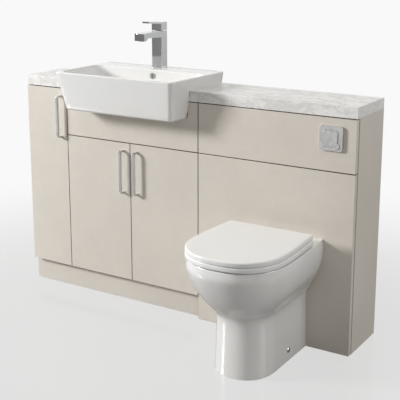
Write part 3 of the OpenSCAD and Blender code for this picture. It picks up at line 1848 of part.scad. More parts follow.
// Two cables from the back of the plate's housing to the flush valve's top
function cable_route(s) =
  let (
    y0 = y_face + housing_l,
    x0 = plate_x + big_dx + (s < 0 ? -9 : small_d + 9),
    z0 = plate_z + big_dz - (s < 0 ? 0 : small_d),
    y1 = y_tank + s * 5,
    over = z_cover + cover_t + 12
  )
    [
      [x0, y0 + 0.5, z0],
      [x0, y0 + 7, z0],
      [x0, y0 + 14, z0],
      [x0 - 6, y_tank - 42, over + s * 4],
      [pan_cx + 78, y1 - 8, over + s * 4],
      [pan_cx + 26, y1, over + 4],
      for (z = [over - 6, z_cover - 6, z_cover - 30, z_valve_top - 8]) [pan_cx, y1, z]
    ];

module flush_cables() {
  color(c_dark)
    for (s = [-1, 1])
      tube(route(cable_route(s), 4), 2.5, [0.3, 0.2, 1]);
}

// ---- pieces

worktop();
unit_gables();
side_unit_back();
side_unit_shelves();
shelf_pins();
unit_rails();
basin_fascia();
wc_unit_gables();
wc_unit_rails();
wc_upper_panel();
wc_lower_panel();
panel_fixings();
plinth();
adjustable_legs();
unit_connectors();
hinge_arms();
hinge_links(SIDE);  // side_hinge_links
hinge_links(LEFT);  // left_hinge_links
hinge_links(RIGHT);  // right_hinge_links
door_leaf(SIDE);  // side_door
door_leaf(LEFT);  // left_door
door_leaf(RIGHT);  // right_door
handle(SIDE);  // side_handle
handle(LEFT);  // left_handle
handle(RIGHT);  // right_handle
hinge_cups(SIDE);  // side_hinge_cups
hinge_cups(LEFT);  // left_hinge_cups
hinge_cups(RIGHT);  // right_hinge_cups
basin();
waste_fitting();
waste_plug();
bottle_trap();
tap_body();
tap_aerator();
tap_stem();
tap_lever();
tap_backnut();
tap_tails();
isolating_valves();
pan();
pan_connector();
flush_pipe();
pan_fixings();
seat();
seat_buffers();
lid();
lid_buffers();
seat_hinge_posts();
seat_hinge_barrels();
lid_hinge_barrels();
cistern_tank();
cistern_cover();
fill_valve();
float();
flush_valve();
flush_valve_seal();
flush_cables();
flush_plate();
full_flush_button();
half_flush_button();
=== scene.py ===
"""Looks of a fitted toilet and basin run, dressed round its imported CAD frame.

Metres; +X runs along the wall to the viewer's right, +Y goes back to the wall,
+Z is up, and the origin is on the floor under the middle of the run.
"""

from __future__ import annotations

import json
import logging
import math
from dataclasses import dataclass
from enum import Enum
from typing import Sequence

import bmesh
import bpy
import numpy as np
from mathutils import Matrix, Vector


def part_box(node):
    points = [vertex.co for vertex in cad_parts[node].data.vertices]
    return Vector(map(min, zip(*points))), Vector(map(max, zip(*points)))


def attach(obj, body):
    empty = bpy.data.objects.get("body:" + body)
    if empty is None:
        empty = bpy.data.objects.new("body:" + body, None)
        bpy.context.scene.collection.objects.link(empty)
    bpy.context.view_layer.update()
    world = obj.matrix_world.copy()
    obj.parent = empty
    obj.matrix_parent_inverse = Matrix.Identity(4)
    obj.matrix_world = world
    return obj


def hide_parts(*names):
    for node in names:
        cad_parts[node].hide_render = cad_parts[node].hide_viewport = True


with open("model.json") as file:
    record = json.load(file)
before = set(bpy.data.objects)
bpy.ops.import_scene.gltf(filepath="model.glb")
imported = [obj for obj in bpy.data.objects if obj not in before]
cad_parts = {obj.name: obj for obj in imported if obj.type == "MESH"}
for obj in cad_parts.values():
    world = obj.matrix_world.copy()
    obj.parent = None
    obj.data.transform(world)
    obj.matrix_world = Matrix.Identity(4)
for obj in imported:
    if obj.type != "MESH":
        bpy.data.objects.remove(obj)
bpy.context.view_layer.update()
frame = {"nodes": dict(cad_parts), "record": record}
LOG = logging.getLogger("run")

Colour = tuple[float, float, float]
Place = tuple[float, float, float]
Array = np.ndarray

QUARTER = np.pi / 2
WELD = 2e-6  # distance within which points of a frame node are joined
MERGE = 1e-6  # the same for new surfaces
LEVEL_ANGLE = math.radians(1.0)  # slope within which faces are joined
LEVEL_DOT = 0.99995  # cosine past which two faces count as level
BEND_ANGLE = math.radians(32.0)  # slope past which an edge is eased
CRISP_ANGLE = 40.0  # slope past which an edge shades crisp, in degrees
SIDE_DOT = 0.3  # share of Y in a normal below which a face is a slab's side


class Output(Enum):
    """What a shader tree ends in."""

    SURFACE = "ShaderNodeOutputMaterial"
    WORLD = "ShaderNodeOutputWorld"


def srgb(red: float, green: float, blue: float) -> Colour:
    """Turns a display colour of 0 to 255 into scene-linear light.

    Args:
        red, green, blue: display values, 0 to 255.

    Returns:
        The linear colour.
    """
    shares = np.array([red, green, blue]) / 255.0
    linear = np.where(shares <= 0.04045, shares / 12.92, ((shares + 0.055) / 1.055) ** 2.4)
    return tuple(float(v) for v in linear)


def toned(colour: Colour, share: float) -> Colour:
    """The colour made deeper or lighter by a share, no lighter than white."""
    return tuple(min(1.0, c * share) for c in colour)


# --------------------------------------------------------------- shader maths


class Wire:
    """One output of a shader node, with arithmetic that adds Math nodes."""

    def __init__(self, graph: "Graph", socket: bpy.types.NodeSocket) -> None:
        """Keeps the graph and the socket."""
        self.graph = graph
        self.socket = socket

    def _math(self, operation: str, *values: "Wire | float") -> "Wire":
        """Adds a Math node over the values."""
        inputs = {i: v for i, v in enumerate(values)}
        return self.graph.node("ShaderNodeMath", {"operation": operation}, inputs)

    def __add__(self, other: "Wire | float") -> "Wire":
        """Sum."""
        return self._math("ADD", self, other)

    __radd__ = __add__

    def __sub__(self, other: "Wire | float") -> "Wire":
        """Difference."""
        return self._math("SUBTRACT", self, other)

    def __rsub__(self, other: "Wire | float") -> "Wire":
        """Difference from a number."""
        return self._math("SUBTRACT", other, self)

    def __mul__(self, other: "Wire | float") -> "Wire":
        """Product."""
        return self._math("MULTIPLY", self, other)

    __rmul__ = __mul__

    def smooth(self, low: float, high: float, start: float = 0.0, end: float = 1.0) -> "Wire":
        """Maps the value smoothly from low..high to start..end.

        Args:
            low, high: the value's own span.
            start, end: what it becomes at the span's ends.

        Returns:
            The mapped value.
        """
        settings = {"interpolation_type": "SMOOTHSTEP"}
        values = {"Value": self, "From Min": low, "From Max": high, "To Min": start, "To Max": end}
        return self.graph.node("ShaderNodeMapRange", settings, values)

    def least(self, other: "Wire | float") -> "Wire":
        """Smaller of two values."""
        return self._math("MINIMUM", self, other)

    def most(self, other: "Wire | float") -> "Wire":
        """Larger of two values."""
        return self._math("MAXIMUM", self, other)

    def sine(self) -> "Wire":
        """Sine of the value."""
        return self._math("SINE", self)

    def size(self) -> "Wire":
        """Absolute value."""
        return self._math("ABSOLUTE", self)


class Graph:
    """Node tree of one material or of the world."""

    def __init__(self, tree: bpy.types.NodeTree) -> None:
        """Empties the tree and keeps it."""
        self.tree = tree
        tree.nodes.clear()

    def node(
        self,
        kind: str,
        settings: dict | None = None,
        values: dict | None = None,
        output: int | str = 0,
    ) -> Wire:
        """Adds a node.

        Args:
            kind: the node's type name.
            settings: attributes that are set first.
            values: numbers, colours or wires by socket name or number.
            output: the output that is returned.

        Returns:
            The wire of that output.
        """
        made = self.tree.nodes.new(kind)
        for name, value in (settings or {}).items():
            setattr(made, name, value)
        for key, value in (values or {}).items():
            socket = made.inputs[key]
            if isinstance(value, Wire):
                self.tree.links.new(value.socket, socket)
            elif isinstance(value, tuple) and socket.type == "RGBA" and len(value) == 3:
                socket.default_value = (*value, 1.0)
            else:
                socket.default_value = value
        return Wire(self, made.outputs[output])

    def place(self) -> Wire:
        """Object coordinates in metres."""
        return self.node("ShaderNodeTexCoord", output="Object")

    def uv(self) -> Wire:
        """The piece's own UV map."""
        return self.node("ShaderNodeTexCoord", output="UV")

    def axis(self, vector: Wire, name: str) -> Wire:
        """X, Y or Z of a vector."""
        return self.node("ShaderNodeSeparateXYZ", values={0: vector}, output=name)

    def mapped(self, vector: Wire, scale: tuple[float, float, float]) -> Wire:
        """Vector stretched along its axes."""
        return self.node("ShaderNodeMapping", values={"Vector": vector, "Scale": scale})

    def noise(self, vector: Wire, scale: float, detail: float = 3.0, rough: float = 0.5) -> Wire:
        """Cloudy value from 0 to 1.

        Args:
            vector: where it is read.
            scale: lumps per metre.
            detail: how many finer layers it has.
            rough: how strong the finer layers are.

        Returns:
            The value.
        """
        values = {"Vector": vector, "Scale": scale, "Detail": detail, "Roughness": rough}
        return self.node("ShaderNodeTexNoise", values=values)

    def blend(self, share: Wire | float, first: Wire | Colour, second: Wire | Colour) -> Wire:
        """Colour between two colours.

        Args:
            share: 0 gives the first and 1 the second.
            first, second: colours or wires.

        Returns:
            The colour.
        """
        values = {0: share, 6: first, 7: second}
        return self.node("ShaderNodeMix", {"data_type": "RGBA"}, values, output=2)

    def bump(self, height: Wire, depth: float, strength: float = 1.0) -> Wire:
        """Normal disturbed by a height.

        Args:
            height: value from 0 to 1.
            depth: metres that 1 stands for.
            strength: share of the effect.

        Returns:
            The normal.
        """
        values = {"Height": height, "Distance": depth, "Strength": strength}
        return self.node("ShaderNodeBump", values=values, output=0)

    def principled(self, **values: Wire | float | Colour) -> Wire:
        """Principled surface; names use _ for a space."""
        named = {key.replace("_", " "): value for key, value in values.items()}
        return self.node("ShaderNodeBsdfPrincipled", values=named)

    def mixed(self, share: Wire, first: Wire, second: Wire) -> Wire:
        """Shader between two shaders; a share of 1 gives the second."""
        return self.node("ShaderNodeMixShader", values={0: share, 1: first, 2: second})

    def ray(self, kind: str) -> Wire:
        """1 for light paths of a kind, such as camera rays, and 0 for others."""
        return self.node("ShaderNodeLightPath", output=f"Is {kind} Ray")

    def finish(self, kind: Output, shader: Wire) -> None:
        """Ends the tree with the shader."""
        end = self.tree.nodes.new(kind.value)
        self.tree.links.new(shader.socket, end.inputs["Surface"])


# ------------------------------------------------------------------- finishes


@dataclass(frozen=True)
class Finish:
    """A surface finish; its name differs from the frame's own material of its slot."""

    name: str
    slot: str

    def material(self) -> bpy.types.Material:
        """The finish's material, made once."""
        found = bpy.data.materials.get(self.name)
        if found is None:
            found = bpy.data.materials.new(self.name)
            found.use_nodes = True
            graph = Graph(found.node_tree)
            graph.finish(Output.SURFACE, self.shade(graph))
        return found

    def shade(self, graph: Graph) -> Wire:
        """Shader of the finish."""
        raise NotImplementedError


@dataclass(frozen=True)
class Lacquer(Finish):
    """Satin-matt lacquer over board, with a faint orange peel and painted shade of the gaps: dark
    brown on the slabs' side faces.
    """

    colour: Colour = srgb(219, 212, 202)
    rough: float = 0.42
    # painted shade of the gaps between fronts, laid on the slabs' side faces
    edge: Colour = srgb(118, 97, 76)
    drifts: float = 3.1
    clouds: float = 38.0
    peels: float = 900.0
    peel_depth: float = 0.00006

    def shade(self, graph: Graph) -> Wire:
        """Even colour with slow drifts, a very fine peel and painted gap shade, dark brown, on the
        marked side faces.
        """
        place = graph.place()
        drift = graph.noise(place, self.drifts, 2.0)
        cloud = graph.noise(place, self.clouds, 3.0)
        deep, light = toned(self.colour, 0.955), toned(self.colour, 1.02)
        colour = graph.blend((drift * 0.7 + cloud * 0.3).smooth(0.3, 0.7), deep, light)
        peel = graph.noise(place, self.peels, 2.0, 0.6)
        # side faces marked for the painted shade of the gaps between fronts
        gap_shade = graph.node("ShaderNodeAttribute", {"attribute_name": "edge"}, output="Fac")
        return graph.principled(
            Base_Color=graph.blend(gap_shade, colour, self.edge),
            Roughness=cloud.smooth(0.3, 0.7, self.rough - 0.03, self.rough + 0.05),
            Normal=graph.bump(peel, self.peel_depth, 0.5),
            Specular_IOR_Level=0.42,
        )


@dataclass(frozen=True)
class Melamine(Finish):
    """Melamine-faced board of the carcass, with a fine pressed grain."""

    colour: Colour = srgb(226, 221, 213)
    stretch: tuple[float, float, float] = (1.0, 1.0, 0.08)
    grains: float = 420.0
    drifts: float = 6.0
    grain_depth: float = 0.00008

    def shade(self, graph: Graph) -> Wire:
        """Pale face with short grain ticks along Z."""
        place = graph.place()
        grain = graph.noise(graph.mapped(place, self.stretch), self.grains, 3.0, 0.6)
        drift = graph.noise(place, self.drifts)
        share = (grain * 0.6 + drift * 0.4).smooth(0.35, 0.62)
        return graph.principled(
            Base_Color=graph.blend(share, toned(self.colour, 0.93), self.colour),
            Roughness=grain.smooth(0.3, 0.7, 0.42, 0.56),
            Normal=graph.bump(grain, self.grain_depth, 0.5),
        )


@dataclass(frozen=True)
class StoneLaminate(Finish):
    """Pale stone-effect laminate: cloudy veins, fine specks and a crystal sheen."""

    colour: Colour = srgb(244, 243, 241)
    vein: Colour = srgb(209, 207, 203)
    warps: float = 5.0
    warp: Place = (0.35, 0.22, 0.3)
    stretch: tuple[float, float, float] = (0.7, 2.4, 2.0)
    streaks: float = 7.0
    clouds: float = 26.0
    grains: float = 620.0
    grain_depth: float = 0.00007

    def shade(self, graph: Graph) -> Wire:
        """Warped soft veins over a cloudy ground with fine grains."""
        place = graph.place()
        warp = graph.noise(place, self.warps, 4.0, 0.6)
        lifted = graph.node("ShaderNodeCombineXYZ", values={0: warp, 1: warp, 2: warp})
        shifted = graph.node(
            "ShaderNodeVectorMath", {"operation": "MULTIPLY_ADD"},
            {0: lifted, 1: self.warp, 2: place},
        )
        vein = graph.noise(graph.mapped(shifted, self.stretch), self.streaks, 6.0, 0.62)
        streak = 1.0 - (vein - 0.5).size().smooth(0.0, 0.07)
        cloud = graph.noise(place, self.clouds, 5.0, 0.62)
        grain = graph.noise(place, self.grains, 2.0, 0.7)
        share = streak * 0.55 + cloud.smooth(0.5, 0.8) * 0.3 + grain.smooth(0.6, 0.8) * 0.15
        return graph.principled(
            Base_Color=graph.blend(share.least(1.0), self.colour, self.vein),
            Roughness=(streak * 0.5 + grain * 0.5).smooth(0.2, 0.8, 0.22, 0.36),
            Normal=graph.bump(grain * 0.6 + cloud * 0.4, self.grain_depth, 0.45),
            Specular_IOR_Level=0.3,
        )


@dataclass(frozen=True)
class Glaze(Finish):
    """White vitreous glaze: deep gloss with a slow waviness of the fired body."""

    colour: Colour = srgb(241, 241, 240)
    warmth: Colour = (0.985, 0.98, 0.97)
    waves: float = 14.0
    fines: float = 240.0
    pools: float = 3.0
    wave_depth: float = 0.0005

    def shade(self, graph: Graph) -> Wire:
        """Near-white body under a clear coat, with slow waves and faintly warm pools."""
        place = graph.place()
        wave = graph.noise(place, self.waves, 2.0)
        fine = graph.noise(place, self.fines, 2.0)
        pool = graph.noise(place, self.pools, 2.0)
        warm = tuple(c * w for c, w in zip(self.colour, self.warmth))
        return graph.principled(
            Base_Color=graph.blend(pool.smooth(0.35, 0.65), self.colour, warm),
            Roughness=fine.smooth(0.3, 0.7, 0.10, 0.15),
            Normal=graph.bump(wave * 0.85 + fine * 0.15, self.wave_depth, 0.25),
            Specular_IOR_Level=0.5,
            Coat_Weight=0.6,
            Coat_Roughness=0.04,
        )


@dataclass(frozen=True)
class SeatShell(Finish):
    """Moulded thermoset of the seat and lid: smooth gloss with faint flow marks."""

    colour: Colour = srgb(244, 244, 243)
    stretch: tuple[float, float, float] = (1.0, 0.25, 1.0)
    flows: float = 40.0
    fines: float = 700.0
    fine_depth: float = 0.00006

    def shade(self, graph: Graph) -> Wire:
        """White gloss with a faint flow along the moulding."""
        place = graph.place()
        flow = graph.noise(graph.mapped(place, self.stretch), self.flows, 3.0)
        fine = graph.noise(place, self.fines, 2.0)
        return graph.principled(
            Base_Color=graph.blend(flow.smooth(0.35, 0.65), self.colour, toned(self.colour, 0.99)),
            Roughness=fine.smooth(0.3, 0.7, 0.17, 0.23),
            Normal=graph.bump(flow * 0.5 + fine * 0.5, self.fine_depth, 0.35),
            Specular_IOR_Level=0.5,
        )


@dataclass(frozen=True)
class Metal(Finish):
    """Plain or plated metal; brushing runs along one axis."""

    colour: Colour = (0.82, 0.83, 0.84)
    rough: float = 0.05
    brushed: float = 0.0
    along: tuple[float, float, float] = (1.0, 1.0, 0.04)
    smears: float = 60.0
    scratches: float = 1500.0

    def shade(self, graph: Graph) -> Wire:
        """Metal with faint smears; brushing is fine noise stretched along an axis."""
        place = graph.place()
        smear = graph.noise(place, self.smears, 3.0)
        lines = graph.noise(graph.mapped(place, self.along), self.scratches, 2.0, 0.7)
        rough = smear.smooth(0.35, 0.7, self.rough, self.rough * 1.5 + 0.015)
        if self.brushed:
            rough = rough + lines * self.brushed * 0.12
        relief = lines if self.brushed else smear
        return graph.principled(
            Base_Color=graph.blend(smear.smooth(0.3, 0.75), self.colour, toned(self.colour, 0.94)),
            Metallic=1.0,
            Roughness=rough,
            Normal=graph.bump(relief, 0.00002 + 0.00003 * self.brushed, 0.3),
        )


@dataclass(frozen=True)
class Moulded(Finish):
    """Moulded plastic or rubber with a fine spark-eroded texture."""

    colour: Colour = srgb(232, 232, 231)
    rough: float = 0.4
    texture: float = 0.5
    grains: float = 1100.0
    drifts: float = 20.0
    grain_depth: float = 0.00006

    def shade(self, graph: Graph) -> Wire:
        """Even colour with a grainy skin."""
        place = graph.place()
        skin = graph.noise(place, self.grains, 2.0, 0.65)
        drift = graph.noise(place, self.drifts)
        return graph.principled(
            Base_Color=graph.blend(drift.smooth(0.3, 0.7), toned(self.colour, 0.94), self.colour),
            Roughness=skin.smooth(0.3, 0.7, self.rough - 0.04, self.rough + 0.06),
            Normal=graph.bump(skin, self.grain_depth, self.texture),
        )


@dataclass(frozen=True)
class Braid(Finish):
    """Braided steel sleeve of a hose; it reads as plain steel on a piece without a UV map."""

    colour: Colour = (0.62, 0.63, 0.65)
    turns: float = 12.0
    weave_depth: float = 0.0005

    def shade(self, graph: Graph) -> Wire:
        """Two sets of wires that cross at a slant: sine of u plus and minus v."""
        spot = graph.uv()
        u, v = (graph.axis(spot, name) * (self.turns * 2.0 * math.pi) for name in ("X", "Y"))
        left, right = (u + v).sine(), (u - v).sine()
        weave = left.most(right).smooth(-0.2, 1.0)
        return graph.principled(
            Base_Color=graph.blend(weave, toned(self.colour, 0.35), self.colour),
            Metallic=0.9,
            Roughness=weave.smooth(0.0, 1.0, 0.5, 0.28),
            Normal=graph.bump(weave, self.weave_depth, 0.6),
        )


DOOR = Lacquer("door_lacquer", "door_finish")
BOARD = Melamine("carcass_melamine", "board")
GABLE = Lacquer("gable_lacquer", "board")
STONE = StoneLaminate("stone_laminate", "worktop_laminate")
CHINA = Glaze("sanitary_glaze", "ceramic")
SEAT = SeatShell("seat_shell", "seat_plastic")
CHROME = Metal("polished_chrome", "chrome", (0.80, 0.81, 0.82), 0.045)
STEEL = Metal("nickelled_steel", "steel", (0.66, 0.66, 0.66), 0.22, 0.6)
BRASS = Metal("bare_brass", "brass", (0.72, 0.52, 0.24), 0.25, 0.4)
SATIN = Metal("satin_silver", "satin_plate", (0.66, 0.66, 0.66), 0.28, 1.0)
WHITE = Moulded("white_moulding", "white_plastic")
GREY = Moulded("grey_moulding", "grey_plastic", srgb(120, 122, 124), 0.45)
BLACK = Moulded("black_moulding", "black_plastic", srgb(38, 38, 40), 0.5)
RUBBER = Moulded("buffer_rubber", "rubber", srgb(205, 205, 202), 0.6, 0.8)
HOSE = Braid("braided_sleeve", "braided_hose")


# ------------------------------------------------------------------- surfaces


@dataclass
class Skin:
    """Vertices and faces of a surface that is being made."""

    points: Array
    faces: list[tuple[int, ...]]

    def plus(self, other: "Skin") -> "Skin":
        """Both surfaces in one mesh."""
        shift = len(self.points)
        moved = [tuple(i + shift for i in face) for face in other.faces]
        return Skin(np.vstack([self.points, other.points]), self.faces + moved)

    def moved(self, by: Sequence[float]) -> "Skin":
        """The surface shifted by a vector."""
        return Skin(self.points + np.asarray(by), self.faces)

    def to_y(self) -> "Skin":
        """The surface with its Z axis laid along Y."""
        x, y, z = self.points.T
        return Skin(np.column_stack([x, z, -y]), self.faces)


def ring_faces(rows: int, columns: int, loop: bool) -> list[tuple[int, ...]]:
    """Quads between closed rings of points that are stored ring by ring.

    Args:
        rows, columns: how many rings, and how many points each has.
        loop: whether the last ring joins the first.

    Returns:
        The quads, anticlockwise when columns run anticlockwise and rows run up.
    """
    a, b = np.meshgrid(np.arange(rows if loop else rows - 1), np.arange(columns), indexing="ij")
    a2, b2 = (a + 1) % rows, (b + 1) % columns
    quads = np.stack([a * columns + b, a * columns + b2, a2 * columns + b2, a2 * columns + b], -1)
    return [tuple(q) for q in quads.reshape(-1, 4).tolist()]


def loft(rings: Array, caps: tuple[bool, bool] = (True, True), loop: bool = False) -> Skin:
    """Surface through a stack of closed rings of the same length.

    Args:
        rings: (m, n, 3) points, each ring anticlockwise seen from the side the
            stack grows to.
        caps: whether the first and the last ring are closed by a flat face.
        loop: whether the last ring joins the first, as in a seat ring.

    Returns:
        The surface.
    """
    m, n = rings.shape[:2]
    faces = ring_faces(m, n, loop)
    if caps[0] and not loop:
        faces.append(tuple(range(n - 1, -1, -1)))
    if caps[1] and not loop:
        faces.append(tuple(range((m - 1) * n, m * n)))
    return Skin(rings.reshape(-1, 3), faces)


def turned(profile: Sequence[tuple[float, float]], steps: int = 72) -> Skin:
    """Ring turned about Z from a closed profile of (radius, height).

    Args:
        profile: its points; the last joins the first.
        steps: points round the turn.

    Returns:
        The surface: x = r cos a, y = r sin a, z = h.
    """
    turn = np.linspace(0, 2 * np.pi, steps, endpoint=False)
    r, h = np.array(profile).T
    rings = np.stack(
        [r[:, None] * np.cos(turn), r[:, None] * np.sin(turn), np.repeat(h[:, None], steps, 1)], -1
    )
    return loft(rings, loop=True)


def rounded_ring(
    x0: float, x1: float, y0: float, y1: float, r: float, z: float, steps: int = 12,
    shares: Array | None = None,
) -> Array:
    """Ring of a rectangle with round corners, anticlockwise from above.

    Args:
        x0, x1, y0, y1: the rectangle.
        r: corner radius.
        z: height.
        steps: steps on each quarter.
        shares: places of more points on each straight, as shares of its length.

    Returns:
        (n, 3) points: each corner's centre plus r times (cos a, sin a), with
        points spread along the straight to the next corner.
    """
    turn = np.linspace(0, QUARTER, steps + 1)
    quarters = turn[None, :] + np.arange(4)[:, None] * QUARTER
    cx = np.array([x1 - r, x0 + r, x0 + r, x1 - r])[:, None]
    cy = np.array([y1 - r, y1 - r, y0 + r, y0 + r])[:, None]
    flat = np.stack([cx + r * np.cos(quarters), cy + r * np.sin(quarters)], -1)
    if shares is not None:
        start, end = flat[:, -1:], np.roll(flat[:, :1], -1, 0)
        flat = np.concatenate([flat, start + (end - start) * shares[None, :, None]], 1)
    flat = flat.reshape(-1, 2)
    return np.column_stack([flat, np.full(len(flat), z)])


def fan_ring(cx: float, cy: float, a: float, b: float, z: float, like: Array) -> Array:
    """Ellipse whose points lie in the same directions as another ring's.

    Args:
        cx, cy: centre.
        a, b: half lengths along x and y.
        z: height.
        like: the (n, 3) ring that gives the directions.

    Returns:
        (n, 3) points: centre plus (a cos t, b sin t), t the direction of each
        point of the other ring after its own box is drawn square.
    """
    mid = (like[:, :2].max(0) + like[:, :2].min(0)) / 2
    half = (like[:, :2].max(0) - like[:, :2].min(0)) / 2
    away = (like[:, :2] - mid) / half
    turn = np.arctan2(away[:, 1], away[:, 0])
    x, y = cx + a * np.cos(turn), cy + b * np.sin(turn)
    return np.column_stack([x, y, np.full(len(x), z)])


def d_ring(
    cx: float, back_half: float, half: float, y_back: float, y_mid: float, y_front: float,
    z: float, power: float, corner: float = 0.0, steps: int = 72, sides: int = 18, back: int = 22,
) -> Array:
    """Ring of a D: straight back, slightly bowed sides and a superelliptic front.

    Args:
        cx: middle of the ring.
        back_half, half: half widths at the back and at the middle.
        y_back, y_mid, y_front: back edge, start of the front and its tip.
        z: height.
        power: the superellipse's power, |x/a|^p + |y/b|^p = 1.
        corner: radius of the two back corners.
        steps, sides: steps of the front and of each side.
        back: points between the two back corners.

    Returns:
        (n, 3) points, anticlockwise from above.
    """
    t = np.linspace(0, 1, sides + 1)
    side_x = back_half + (half - back_half) * np.sin(t * QUARTER)
    side_y = y_back + (y_mid - y_back) * t
    if corner > 0:
        turn = np.linspace(QUARTER, 0, 9)
        arc_x = back_half - corner + corner * np.cos(turn)
        arc_y = y_back - corner + corner * np.sin(turn)
        keep = side_y < y_back - corner - 1e-5
        side_x = np.concatenate([arc_x, side_x[keep]])
        side_y = np.concatenate([arc_y, side_y[keep]])
    turn = np.linspace(0, np.pi, steps + 1)[1:-1]
    across, ahead = np.cos(turn), np.sin(turn)
    front_x = -half * np.sign(across) * np.abs(across) ** (2 / power)
    front_y = y_mid + (y_front - y_mid) * ahead ** (2 / power)
    behind = np.linspace(side_x[0], -side_x[0], back + 2)[1:-1]
    x = np.concatenate([cx - side_x, cx + front_x, cx + side_x[::-1], cx + behind])
    y = np.concatenate([side_y, front_y, side_y[::-1], np.full(back, y_back)])
    return np.stack([x, y, np.full_like(x, z)], -1)


def eased(
    levels: list[tuple[float, float]], r: float, z_top: float, inset: float, steps: int
) -> list[tuple[float, float]]:
    """Height and inset of the rings of an edge that is rounded at its top.

    Args:
        levels: (height, inset) pairs below the rounding.
        r: height of the rounding.
        z_top: height of the top face.
        inset: how far the rounding comes in.
        steps: steps across it.

    Returns:
        The pairs, with those of the rounding added: (z_top - r (1 - sin a),
        inset (1 - cos a)).
    """
    turn = np.linspace(0, QUARTER, steps + 1)
    return levels + [(z_top - r * (1 - math.sin(a)), inset * (1 - math.cos(a))) for a in turn]


def spline(values: Array, t: Array) -> Array:
    """Smooth curve through equally spaced values: between two of them, the cubic
    that leaves and meets each at the slope between its two neighbours.

    Args:
        values: (n, k) values.
        t: places from 0 to n - 1.

    Returns:
        (len(t), k) values.
    """
    last = len(values) - 1
    i = np.minimum(np.floor(t).astype(int), last - 1)
    u = (t - i)[:, None]
    p0, p1 = values[np.maximum(i - 1, 0)], values[i]
    p2, p3 = values[i + 1], values[np.minimum(i + 2, last)]
    cubic = 3 * (p1 - p2) + p3 - p0
    return p1 + 0.5 * u * (p2 - p0 + u * (2 * p0 - 5 * p1 + 4 * p2 - p3 + u * cubic))


def sweep(path: Array, radius: float, up: Sequence[float], sides: int = 24) -> Skin:
    """Round tube along a path.

    Args:
        path: (n, 3) points.
        radius: the tube's radius.
        up: direction that is never along the path.
        sides: points round the tube.

    Returns:
        The surface; each ring is the path's point plus r (u cos a + v sin a),
        with u and v square to the path.
    """
    tangent = np.gradient(path, axis=0)
    tangent /= np.linalg.norm(tangent, axis=1)[:, None]
    u = np.cross(np.asarray(up, float), tangent)
    u /= np.linalg.norm(u, axis=1)[:, None]
    v = np.cross(tangent, u)
    turn = np.linspace(0, 2 * np.pi, sides, endpoint=False)
    rings = path[:, None, :] + radius * (
        u[:, None, :] * np.cos(turn)[None, :, None] + v[:, None, :] * np.sin(turn)[None, :, None]
    )
    return loft(rings)


# ------------------------------------------------------------------ the maker


